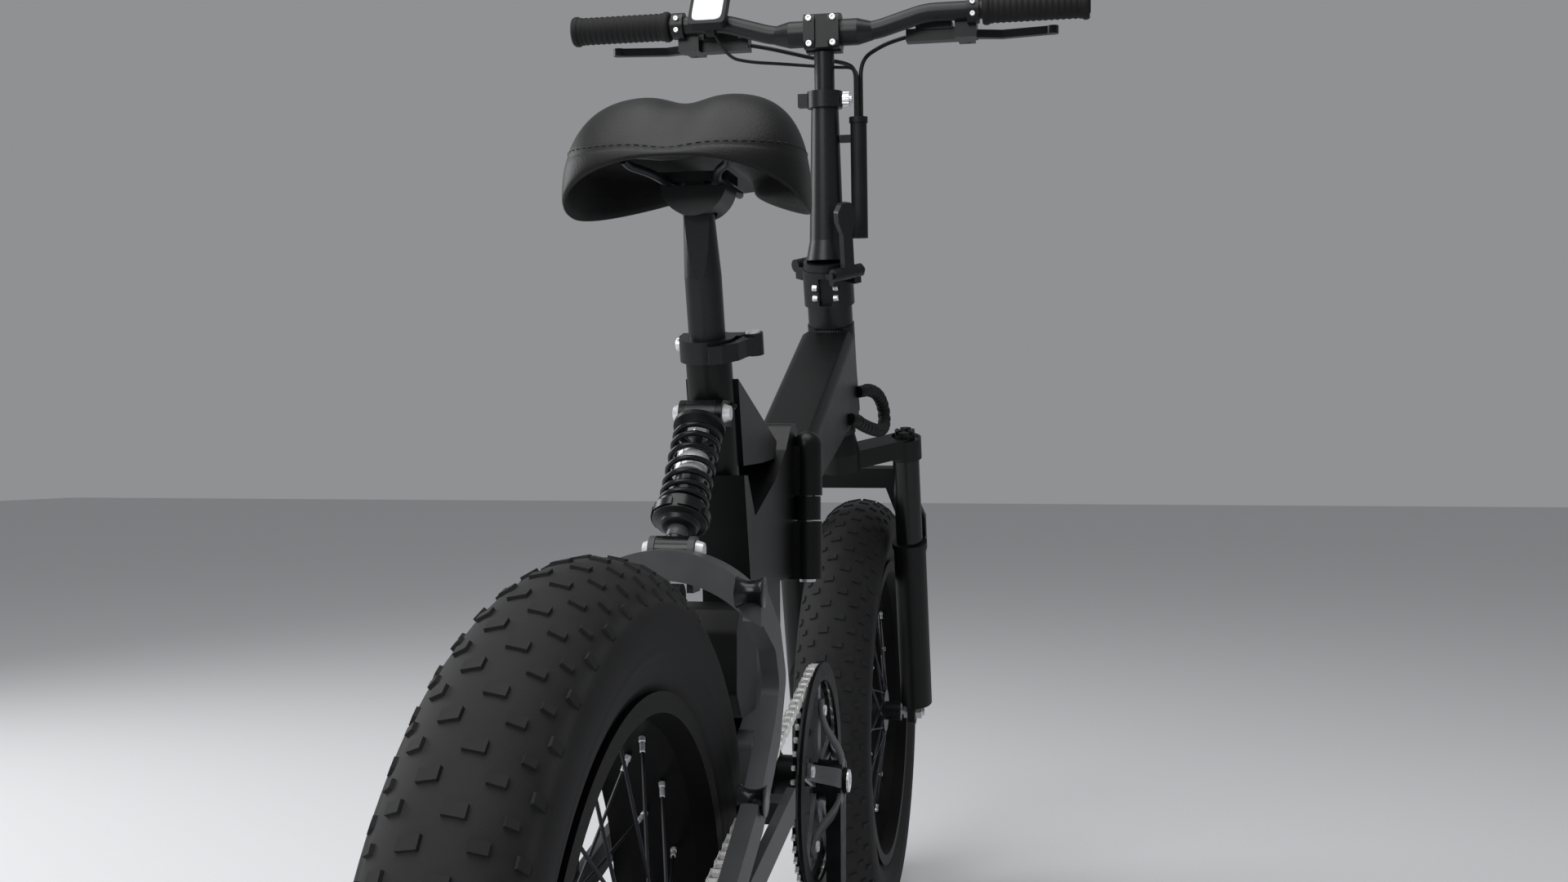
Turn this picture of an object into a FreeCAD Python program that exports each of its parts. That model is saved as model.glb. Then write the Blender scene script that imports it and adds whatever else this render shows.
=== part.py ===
import FreeCAD, Part
import math
import os
import re

import Sketcher

V = FreeCAD.Vector
Turn = FreeCAD.Rotation
Frame = FreeCAD.Placement
TO_X = Turn(V(0, 1, 0), 90)
TO_Y = Turn(V(1, 0, 0), -90)
LEVEL = Turn()

# Folding full-suspension fat tyre bike: X forward, Y left, Z up, origin on the ground between the axles.
# Driving dimensions in millimetres and degrees.
SIZES = {
    # fits between pieces
    "running_fit": 0.05, "seat_gap": 0.3, "face_gap": 0.2,
    # wheels
    "wheelbase": 1200, "rear_axle_x": -600, "tyre_radius": 297, "tyre_width": 98, "tread_width": 36,
    "tyre_wall": 4.5, "belly_radius": 253, "bead_radius": 200, "bead_half": 37, "rim_radius": 209.5,
    "rim_width": 84, "rim_wall": 4, "rim_well": 5, "well_half": 26, "spoke_radius": 1.3, "spoke_gap": 1.2,
    "spoke_bed_half": 9,
    # front hub, axle and brake disc
    "hub_half": 57, "hub_core": 17, "hub_end": 13, "flange_radius": 29, "flange_half": 34,
    "flange_wall": 2, "front_axle_radius": 5, "dropout_half": 67.5, "dropout_wall": 10, "nut_radius": 10,
    "nut_height": 8, "disc_radius": 90, "disc_band": 15, "disc_wall": 2, "disc_centre": 30,
    "front_disc_side": 46,
    # rear hub motor and its axle
    "motor_radius": 68, "motor_flange": 74, "motor_half": 36, "motor_boss": 20, "motor_end": 58,
    "rear_axle_radius": 6, "stay_inner": 62, "stay_outer": 76, "rear_disc_side": 53,
    # steering head and fork, along the tilted head axis
    "head_back": 210, "head_z": 697, "head_angle": 20.3, "head_length": 131, "head_radius": 29,
    "head_bore": 22, "cup_radius": 27.5, "cup_height": 12, "steerer_radius": 14.3, "crown_top": -38,
    "crown_height": 24, "crown_radius": 27, "arm_width": 34, "clamp_radius": 21, "clamp_top": -41,
    "clamp_height": 28, "leg_half": 79, "stanchion_radius": 17.5, "stanchion_wall": 2.5,
    "stanchion_end": -332, "slider_radius": 21.5, "slider_top": -189, "slider_end": -432,
    "slider_bore_end": -395, "wiper_height": 8, "wiper_lip": 1.8, "arch_wall": 12, "arch_gap": 3,
    "arch_top": -94, "arch_band": 28, "root_height": 24, "knob_radius": 13, "knob_height": 12,
    # folding stem
    "base_bottom": 157, "base_height": 45, "base_radius": 31, "knuckle_offset": 40, "knuckle_radius": 8,
    "knuckle_half": 10.6, "ear_width": 10, "hinge_pin_radius": 4, "foot_radius": 29.5, "foot_height": 9,
    "riser_angle": 5, "flare_height": 24, "riser_low_radius": 21, "riser_top_radius": 16.5,
    "riser_length": 192, "post_radius": 12.25, "post_end": 62, "bar_height": 274, "collar_radius": 21.5,
    "collar_height": 20, "collar_drop": 8, "lever_length": 86, "lever_wall": 9,
    # handlebar
    "bar_half": 318, "bar_radius": 11.1, "bar_mid_radius": 15.9, "bar_rise": 18, "bend_start": 62,
    "bend_end": 124, "bar_mid_half": 42, "clamp_width": 43, "clamp_wall": 7, "grip_radius": 17,
    "grip_start": 192, "ring_radius": 18.5, "ring_width": 9, "sleeve_side": 41, "sleeve_radius": 10,
    "sleeve_bore": 8.2, "sleeve_low": 26, "sleeve_top": 172, "hose_radius": 2.5, "wire_radius": 2,
    "display_side": 140, "display_width": 46, "display_length": 62, "display_wall": 12,
    "display_tilt": 35, "lever_side": 172, "lever_tip": 276, "lever_forward": 46,
    # main beam and frame hinge
    "beam_half": 33, "beam_wall": 4, "beam_round": 10, "hinge_x": -45, "hinge_side": -42,
    "barrel_radius": 14.5, "barrel_low": 535, "front_knuckle_low": 593, "front_knuckle_top": 616,
    "barrel_top": 666, "frame_pin_radius": 5, "plate_half": 36, "plate_low": 556, "plate_top": 684,
    "plate_wall": 24,
    # rear frame
    "box_half": 30, "arm_half": 22, "bb_x": -97, "bb_z": 348, "bb_radius": 22, "bb_half": 41,
    "bb_bore": 17, "pivot_x": -260, "pivot_z": 408, "pivot_radius": 16, "pivot_bolt": 6,
    "gusset_half": 23, "seat_x": -281, "seat_z": 745, "seat_angle": 16,
    "seat_tube_radius": 19.5, "seat_tube_length": 205, "post_tube_radius": 15.5, "post_tube_wall": 2.5,
    "post_tube_end": -140, "post_tube_top": 122, "post_head": 12.5, "post_neck": 58, "clamp_low": -7,
    "clamp_ring": 24, "clamp_tall": 19,
    # shock
    "shock_top_x": -300, "shock_top_z": 692, "shock_low_x": -389, "shock_low_z": 584, "eye_radius": 11,
    "eye_half": 13, "shock_bolt": 5, "bolt_head": 8, "head_tall": 6, "ear_wall": 5, "eye_play": 1.2,
    "spring_radius": 18, "spring_wire": 2.5, "spring_turns": 7, "collar_low": 28, "collar_tall": 12,
    "spring_seat": 122, "seat_plate": 4, "shock_body_radius": 11, "seal_low": 73, "seal_top": 92,
    "rod_radius": 4.5, "ring_lip": 2,
    # swingarm
    "arch_x": -410, "arch_depth": 24, "arch_crest": 586, "arch_wall_z": 23, "chainstay_inner": 61.8,
    "chainstay_wall": 7.7, "chainstay_half": 13, "boss_radius": 7.5, "boss_waist": 5.2, "boss_hole": 2.5,
    "boss_half": 10.5, "boss_low_x": -419, "boss_low_z": 400,
    # drive
    "chain_pitch": 12.7, "ring_teeth": 52, "cog_teeth": 18, "chain_side": -57, "tooth_wall": 3.2,
    "roller_radius": 3.85, "link_half": 4.2, "link_wall": 0.9, "roller_half": 2.5, "crank_length": 170,
    "crank_inner": 72, "crank_wall": 14, "spindle_radius": 8, "spider_wall": 4, "guard_wall": 3,
    "guard_radius": 111, "guard_band": 17, "pedal_width": 92, "pedal_length": 98, "pedal_height": 20,
    "pedal_gap": 14,
    # kickstand
    "stand_x": -440, "stand_z": 338, "stand_side": 96, "stand_radius": 8, "stand_tilt": 13.4,
    "stand_pin": 6,
    # saddle
    "saddle_rear": -416, "saddle_nose": -146, "saddle_half": 100, "saddle_top": 944, "saddle_base": 892,
    "rail_radius": 3.5, "rail_half": 22,
}

doc = FreeCAD.newDocument("fat_tyre_bike")
sheet = doc.addObject("Spreadsheet::Sheet", "dims")
for row, (name, number) in enumerate(SIZES.items(), 1):
    sheet.set(f"A{row}", name)
    sheet.set(f"B{row}", str(number))
    sheet.setAlias(f"B{row}", name)
doc.recompute()
nodes = []


def cells(text):
    """A formula in size names, with each name turned into its cell of the sheet."""
    return re.sub(r"[a-z][a-z0-9_]*", lambda m: f"dims.{m[0]}" if m[0] in SIZES else m[0], str(text))


def size(text):
    """The number that a formula in size names gives."""
    result = sheet.evalExpression(cells(text))
    return float(getattr(result, "Value", result))


def spot(at):
    return V(*(size(text) for text in at))


def bind(thing, **formulas):
    for prop, text in formulas.items():
        thing.setExpression(prop, cells(text))


def body(label, frame=Frame()):
    new = doc.addObject("PartDesign::Body", label)
    new.Label = label
    new.AllowCompound = True
    new.Placement = frame
    nodes.append(new)
    return new


def made(label, shape, frame=Frame()):
    new = doc.addObject("Part::Feature", label)
    new.Label = label
    new.Shape = shape
    new.Placement = frame * shape.Placement
    nodes.append(new)
    return new


def plane(owner, role):
    return next(item for item in owner.Origin.OriginFeatures if item.Role == role)


def solid(owner, kind, at=(0, 0, 0), turn=LEVEL, **sizes):
    """One additive or subtractive primitive of a body, with its sizes and place bound to the sheet."""
    new = owner.newObject(f"PartDesign::{kind}", f"{owner.Name}_{kind}")
    new.Placement = Frame(spot(at), turn)
    bind(new, **sizes)
    for letter, text in zip("xyz", at):
        new.setExpression(f"Placement.Base.{letter}", cells(text))
    return new


def rod(owner, at, turn, radius, height, kind="Additive"):
    return solid(owner, f"{kind}Cylinder", at, turn, Radius=radius, Height=height)


def block(owner, low, high, kind="Additive"):
    """A box between two corners, given as formulas."""
    spans = [f"({b}) - ({a})" for a, b in zip(low, high)]
    return solid(owner, f"{kind}Box", low, LEVEL, Length=spans[0], Width=spans[1], Height=spans[2])


def arc_between(start, end, centre, index):
    """The arc from start to end whose centre has the given coordinate (index 0 for x, 1 for y)."""
    middle, chord = (start + end) / 2, end - start
    across = V(-chord.y, chord.x, 0)
    slide = (centre - middle[index]) / across[index]
    centre = middle + across * slide
    turn_left = (start - centre).cross(end - centre).z > 0
    first, last = (start, end) if turn_left else (end, start)
    angles = [math.atan2(p.y - centre.y, p.x - centre.x) for p in (first, last)]
    if angles[1] < angles[0]:
        angles[1] += 2 * math.pi
    circle = Part.Circle(centre, V(0, 0, 1), (start - centre).Length)
    return Part.ArcOfCircle(circle, angles[0], angles[1]), turn_left


def outline(owner, role, corners, lift="0", arcs=None):
    """A closed sketch through corners given as formula pairs; arcs maps a side to ('x' or 'y', centre)."""
    arcs = arcs or {}
    new = owner.newObject("Sketcher::SketchObject", f"{owner.Name}_outline")
    new.AttachmentSupport = [(plane(owner, role), "")]
    new.MapMode = "FlatFace"
    new.AttachmentOffset = Frame(V(0, 0, size(lift)), LEVEL)
    new.setExpression("AttachmentOffset.Base.z", cells(lift))
    points = [V(size(a), size(b), 0) for a, b in corners]
    ends = []
    for side, start in enumerate(points):
        end = points[(side + 1) % len(points)]
        if side in arcs:
            letter, centre = arcs[side]
            curve, turn_left = arc_between(start, end, size(centre), "xy".index(letter))
            new.addGeometry(curve, False)
            ends.append((1, 2) if turn_left else (2, 1))
        else:
            new.addGeometry(Part.LineSegment(start, end), False)
            ends.append((1, 2))
    for side in range(len(points)):
        after = (side + 1) % len(points)
        new.addConstraint(Sketcher.Constraint("Coincident", side, ends[side][1], after, ends[after][0]))
    for side, (point, pair) in enumerate(zip(points, corners)):
        for kind, number, text in zip(("DistanceX", "DistanceY"), point, pair):
            rule = new.addConstraint(Sketcher.Constraint(kind, -1, 1, side, ends[side][0], number))
            new.setExpression(f"Constraints[{rule}]", cells(text))
    for side, (letter, centre) in arcs.items():
        rule = new.addConstraint(Sketcher.Constraint(f"Distance{letter.upper()}", -1, 1, side, 3,
                                                     size(centre)))
        new.setExpression(f"Constraints[{rule}]", cells(centre))
    return new


def pad(owner, sketch, length, kind="Pad", both=True):
    new = owner.newObject(f"PartDesign::{kind}", f"{owner.Name}_{kind}")
    new.Profile = sketch
    new.SideType = "Symmetric" if both else "One side"
    bind(new, Length=length)
    return new


def revolve(owner, sketch, axis="V_Axis"):
    new = owner.newObject("PartDesign::Revolution", f"{owner.Name}_turned")
    new.Profile = sketch
    new.ReferenceAxis = (sketch, [axis])
    new.Angle = 360
    return new


def around(owner, features, axis, count):
    """Copies of features spaced evenly about an axis of the body."""
    new = owner.newObject("PartDesign::PolarPattern", f"{owner.Name}_ring")
    new.Originals = features
    new.Axis = (next(item for item in owner.Origin.OriginFeatures if item.Role == axis), [""])
    new.Angle = 360
    new.Occurrences = count
    owner.Tip = new
    return new


def soften(owner, radius, chosen, kind="Fillet"):
    """Rounds or bevels the body's edges that the chosen test picks by their middle and direction."""
    doc.recompute()
    base = owner.Tip
    picked = []
    for number, edge in enumerate(base.Shape.Edges, 1):
        middle = edge.valueAt((edge.FirstParameter + edge.LastParameter) / 2)
        heading = edge.tangentAt((edge.FirstParameter + edge.LastParameter) / 2)
        if chosen(middle, heading, edge):
            picked.append(f"Edge{number}")
    new = owner.newObject(f"PartDesign::{kind}", f"{owner.Name}_{kind}")
    new.Base = (base, picked)
    bind(new, **{"Radius" if kind == "Fillet" else "Size": radius})
    return new


def rounded_path(points, most=None):
    """A wire of straight runs joined by tangent arcs, each as large as its runs or the given most allow."""
    edges, radii, start = [], [], points[0]
    for before, corner, after in zip(points, points[1:], points[2:]):
        a, b = (before - corner), (after - corner)
        turn = math.pi - a.getAngle(b)
        reach = 0.45 * min(a.Length, b.Length)
        radius = reach / math.tan(turn / 2)
        if most and radius > most:
            radius, reach = most, most * math.tan(turn / 2)
        a.normalize()
        b.normalize()
        first, last = corner + a * reach, corner + b * reach
        inward = a + b
        inward.normalize()
        middle = corner + inward * (math.hypot(radius, reach) - radius)
        if (first - start).Length > 1e-6:
            edges.append(Part.LineSegment(start, first).toShape())
        edges.append(Part.Arc(first, middle, last).toShape())
        radii.append(radius)
        start = last
    edges.append(Part.LineSegment(start, points[-1]).toShape())
    return Part.Wire(edges), radii


def tube(points, radius, most=None):
    """A round solid along a rounded path; its volume is compared with its section times its length."""
    path, radii = rounded_path(points, most)
    ring = Part.Wire(Part.makeCircle(radius, points[0], points[1] - points[0]))
    shape = path.makePipeShell([ring], True, False)
    if abs(shape.Volume / (math.pi * radius**2 * path.Length) - 1) > 0.01:
        raise ValueError("a tube's volume differs from its section times its length")
    return shape, radii


# Frames that groups of pieces are built in
UP = V(0, 0, 1)
SIDE = V(0, 1, 0)
HEAD_X = "(rear_axle_x + wheelbase - head_back)"
head = Frame(spot((HEAD_X, 0, "head_z")), Turn(SIDE, -size("head_angle")))
fold = head * Frame(spot((0, 0, "base_bottom")), Turn(UP, 45))
foot_top = fold * spot((0, 0, "base_height + seat_gap + foot_height"))
riser = Frame(foot_top, Turn(SIDE, -size("riser_angle")))
bars = riser * Frame(spot((0, 0, "bar_height")), LEVEL)
seat = Frame(spot(("seat_x", 0, "seat_z")), Turn(SIDE, -size("seat_angle")))
shock_rise = spot(("shock_top_x - shock_low_x", 0, "shock_top_z - shock_low_z"))
shock = Frame(spot(("shock_low_x", 0, "shock_low_z")), Turn(UP, shock_rise))
front_axle = Frame(spot(("rear_axle_x + wheelbase", 0, "tyre_radius")), LEVEL)
rear_axle = Frame(spot(("rear_axle_x", 0, "tyre_radius")), LEVEL)
crank = Frame(spot(("bb_x", 0, "bb_z")), LEVEL)
# The front axle seen along the head axis: ahead of it and below the head tube
AHEAD = "head_back * cos(head_angle) + (tyre_radius - head_z) * sin(head_angle)"
BELOW = "(tyre_radius - head_z) * cos(head_angle) - head_back * sin(head_angle)"
BED = "bead_radius - seat_gap"
EYES = str(round(shock_rise.Length, 4))


def tyre(label, axle):
    """Hollow casing with a flat crown, round shoulders and a long side wall down to the bead."""
    part = body(label, axle)
    half = "tyre_width / 2"
    inner = "tyre_width / 2 - tyre_wall"
    corners = [
        ("tyre_radius", "-tread_width / 2"), ("tyre_radius", "tread_width / 2"), ("belly_radius", half),
        ("rim_radius + 1.5", "bead_half"), ("bead_radius", "bead_half"),
        ("bead_radius", "bead_half - tyre_wall"),
        ("rim_radius + 1.5", "bead_half - tyre_wall"), ("belly_radius", inner),
        ("tyre_radius - tyre_wall", "tread_width / 2"), ("tyre_radius - tyre_wall", "-tread_width / 2"),
        ("belly_radius", f"-({inner})"), ("rim_radius + 1.5", "tyre_wall - bead_half"),
        ("bead_radius", "tyre_wall - bead_half"), ("bead_radius", "-bead_half"),
        ("rim_radius + 1.5", "-bead_half"),
        ("belly_radius", f"-{half}"),
    ]
    rounds = {side: ("x", "belly_radius") for side in (1, 2, 6, 7, 9, 10, 14, 15)}
    revolve(part, outline(part, "XY_Plane", corners, arcs=rounds))


def rim(label, axle):
    """Wide channel with two upright flanges, a flat bed for the beads and a shallow well for the spokes."""
    part = body(label, axle)
    flange = "bead_half + seat_gap"
    under = f"{BED} - rim_wall"
    corners = [
        ("rim_radius", "rim_width / 2"), ("rim_radius", flange), (BED, flange), (BED, "well_half + 6"),
        (f"{BED} - rim_well", "well_half"),
        (f"{BED} - rim_well", "-well_half"), (BED, "-well_half - 6"), (BED, f"-({flange})"),
        ("rim_radius", f"-({flange})"), ("rim_radius", "-rim_width / 2"),
        (under, "-rim_width / 2"), (f"{under} - rim_well", "-well_half"),
        (f"{under} - rim_well", "well_half"), (under, "rim_width / 2"),
    ]
    revolve(part, outline(part, "XY_Plane", corners))


def spokes(label, axle, flange, half, lead, count=36):
    """Crossed wire spokes between a hub flange and the well of the rim, leaning forward and back in turn."""
    inner = size(f"{flange} + spoke_gap")
    outer = size(f"{BED} - rim_wall - rim_well - spoke_gap")
    wires = []
    for number in range(count):
        side = 1 if number % 2 else -1
        lean = lead if number // 2 % 2 else -lead
        at_rim = 2 * math.pi * number / count
        at_hub = at_rim + math.radians(lean)
        low = V(inner * math.cos(at_hub), side * size(half), inner * math.sin(at_hub))
        high = V(outer * math.cos(at_rim), side * size("spoke_bed_half"), outer * math.sin(at_rim))
        along = high - low
        across = along.cross(SIDE)
        across.normalize()
        corners = [
            low + Turn(along, 60 * corner).multVec(across * size("spoke_radius")) for corner in range(7)
        ]
        wires.append(Part.Face(Part.makePolygon(corners)).extrude(along))
    made(label, Part.makeCompound(wires), axle)


def brake_disc(label, axle, side, bore):
    """Thin steel disc whose band is carried on six slanting arms around its centre."""
    wall = size("disc_wall")
    inner, outer = size("disc_centre"), size("disc_radius - disc_band")
    face = Part.Face(Part.Wire(Part.makeCircle(size("disc_radius"), V(), SIDE)))
    holes = [Part.Face(Part.Wire(Part.makeCircle(size(bore), V(), SIDE)))]
    for arm in range(6):
        corners = [
            Turn(SIDE, 60 * arm + angle).multVec(V(radius, 0, 0))
            for radius, angle in ((inner, 14), (outer, 6), (outer, 29), (outer, 52), (inner, 44),
                                  (inner, 14))
        ]
        holes.append(Part.Face(Part.makePolygon(corners)))
    disc = face.cut(holes).extrude(SIDE * wall)
    disc.translate(SIDE * (size(side) - wall / 2))
    made(label, disc, axle)


def axle_rod(label, axle, radius, inner, reach, frame_wall):
    """Axle with lock nuts inside the dropouts and wheel nuts outside them."""
    part = body(label, axle)
    rod(part, (0, f"-({reach})", 0), TO_Y, radius, f"({reach}) * 2")
    for start in (f"face_gap - ({inner})", f"({inner}) - face_gap - nut_height + 2"):
        solid(part, "AdditivePrism", (0, f"{start}", 0), TO_Y, Circumradius="nut_radius",
              Height="nut_height - 2")
    outer = f"({inner}) + ({frame_wall}) + face_gap * 2"
    for start in (f"-({outer}) - nut_height", outer):
        solid(part, "AdditivePrism", (0, start, 0), TO_Y, Circumradius="nut_radius", Height="nut_height")
    return part


def front_hub():
    part = body("front_hub", front_axle)
    bore = "front_axle_radius + running_fit"
    half = [
        (bore, "hub_half"), ("hub_end", "hub_half"), ("hub_end", "flange_half + flange_wall"),
        ("flange_radius", "flange_half + flange_wall"), ("flange_radius", "flange_half - flange_wall"),
        ("hub_core", "flange_half - flange_wall"),
    ]
    corners = half + [(radius, f"-({along})") for radius, along in reversed(half)]
    revolve(part, outline(part, "XY_Plane", corners))


def hub_motor():
    """Wide drum with spoke flanges, a threaded boss on the right and the disc seat on the left."""
    part = body("hub_motor", rear_axle)
    bore = "rear_axle_radius + running_fit"
    corners = [
        (bore, "-61"), ("motor_boss - 3", "-61"), ("motor_boss - 3", "-47"), ("motor_radius - 14", "-45"),
        ("motor_radius", "-motor_half - 2"), ("motor_flange", "-motor_half - 2"),
        ("motor_flange", "2 - motor_half"),
        ("motor_radius", "2 - motor_half"), ("motor_radius", "motor_half - 2"),
        ("motor_flange", "motor_half - 2"),
        ("motor_flange", "motor_half + 2"), ("motor_radius", "motor_half + 2"), ("motor_radius - 14", "45"),
        ("motor_boss", "47"), ("motor_boss", "motor_end"), (bore, "motor_end"),
    ]
    revolve(part, outline(part, "XY_Plane", corners))


def fork():
    """Fork crown with its steerer, stanchions, sliders with their arch, and the right lockout knob."""
    crown = body("fork_crown", head)
    low = "crown_top - crown_height"
    rod(crown, (0, 0, low), LEVEL, "crown_radius", "crown_height")
    solid(crown, "AdditiveCone", (0, 0, "crown_top"), LEVEL, Radius1="crown_radius",
          Radius2="cup_radius - 6",
          Height="-crown_top - cup_height - seat_gap")
    rod(crown, (0, 0, low), LEVEL, "steerer_radius", "base_bottom + base_height - 12 - (" + low + ")")
    swing = math.degrees(math.atan2(size("leg_half"), size(AHEAD)))
    span = f"sqrt(leg_half ^ 2 + ({AHEAD}) ^ 2)"
    for side in (-1, 1):
        turn = Turn(UP, side * swing)
        solid(crown, "AdditiveBox", (*turn.multVec(V(0, -size("arm_width") / 2, 0))[:2], low), turn,
              Length=span, Width="arm_width", Height="crown_height")
        rod(crown, (AHEAD, f"{side} * leg_half", "clamp_top - clamp_height"), LEVEL, "clamp_radius",
            "clamp_height")
    for side in (-1, 1):
        rod(crown, (AHEAD, f"{side} * leg_half", "clamp_top - clamp_height - 20"), LEVEL,
            "stanchion_radius + running_fit", "clamp_height + 60", "Subtractive")

    legs = body("fork_stanchions", head)
    top = "clamp_top - 2"
    for side in (-1, 1):
        at = (AHEAD, f"{side} * leg_half")
        rod(legs, (*at, "stanchion_end"), LEVEL, "stanchion_radius", f"{top} - stanchion_end")
    rod(legs, (AHEAD, "leg_half", top), LEVEL, "knob_radius", "4")
    for side in (-1, 1):
        rod(legs, (AHEAD, f"{side} * leg_half", "stanchion_end - 1"), LEVEL,
            "stanchion_radius - stanchion_wall",
            f"{top} - stanchion_end - 9", "Subtractive")

    knob = body("lockout_knob", head)
    rod(knob, (AHEAD, "-leg_half", f"{top} + seat_gap"), LEVEL, "knob_radius", "knob_height")
    for turn in (0, 90):
        spin = Turn(UP, turn + 45)
        corner = spot((AHEAD, "-leg_half", f"{top} + knob_height - 5"))
        shift = spin.multVec(V(-20, -2.5, 0))
        solid(knob, "SubtractiveBox", tuple(corner + shift), spin, Length="40", Width="5", Height="10")

    lowers = body("fork_lowers", head)
    outer, inner = "leg_half + slider_radius - 2", "leg_half - slider_radius + 2"
    front = f"{AHEAD} + clamp_radius + arch_gap + arch_wall"
    root = "slider_top - root_height"
    half = [
        (outer, root), (outer, "slider_top + root_height"), ("leg_half - 8", "arch_top"),
    ]
    inside = [
        (inner, root), (inner, "slider_top + root_height + 4"), ("leg_half - 32", "arch_top - arch_band"),
    ]
    corners = half + [(f"-({a})", b) for a, b in reversed(half)]
    corners += [(f"-({a})", b) for a, b in inside] + inside[::-1]
    pad(lowers, outline(lowers, "YZ_Plane", corners, lift=f"{front} - arch_wall / 2"), "arch_wall")
    for side in (-1, 1):
        at = (AHEAD, f"{side} * leg_half")
        near, far = (inner, outer) if side > 0 else (f"-({outer})", f"-({inner})")
        block(lowers, (AHEAD, near, root), (front, far, "slider_top - 1"))
        rod(lowers, (*at, "slider_end"), LEVEL, "slider_radius", "slider_top - slider_end")
        rod(lowers, (*at, "slider_top - wiper_height"), LEVEL, "slider_radius + wiper_lip", "wiper_height")
        wall = ("dropout_half", "dropout_half + dropout_wall")
        near, far = wall if side > 0 else (f"-({wall[1]})", f"-({wall[0]})")
        block(lowers, (f"{AHEAD} - 17", near, f"{BELOW}"), (f"{AHEAD} + 17", far, "slider_end + 30"))
        rod(lowers, (AHEAD, near, BELOW), TO_Y, "17", "dropout_wall")
    for side in (-1, 1):
        rod(lowers, (AHEAD, f"{side} * leg_half", "slider_bore_end"), LEVEL,
            "stanchion_radius + running_fit",
            "slider_top - slider_bore_end + 20", "Subtractive")
    rod(lowers, (AHEAD, "-leg_half - 30", BELOW), TO_Y, "front_axle_radius + running_fit",
        "leg_half * 2 + 60",
        "Subtractive")


def caliper(label, frame, at, sides, foot, disc_side, disc_middle):
    """Brake caliper: a rounded body over the disc's edge, slotted for it, with a foot on its mounting."""
    part = body(label, frame)
    x, z = at
    near, far = sides
    block(part, (f"{x} - 17", f"{disc_side} - {near}", f"{z} - 27"),
          (f"{x} + 17", f"{disc_side} + {far}", f"{z} + 27"))
    soften(part, "6", lambda middle, heading, edge: abs(heading.y) > 0.9)
    block(part, *foot)
    rod(part, (disc_middle[0], f"{disc_side} - 1.6", disc_middle[1]), TO_Y, "disc_radius + 1.5", "3.2",
        "Subtractive")


def headset():
    """Upper and lower bearing cups of the steering head, around the steerer."""
    part = body("headset_cups", head)
    for low, tall, wide in (
        ("-cup_height", "cup_height - face_gap", "cup_radius - 4"),
        ("head_length + face_gap", "base_bottom - head_length - face_gap - seat_gap", "cup_radius"),
    ):
        rod(part, (0, 0, low), LEVEL, wide, tall)
    rod(part, (0, 0, "-cup_height - 1"), LEVEL, "steerer_radius + running_fit",
        "base_bottom + cup_height + 2",
        "Subtractive")


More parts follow.
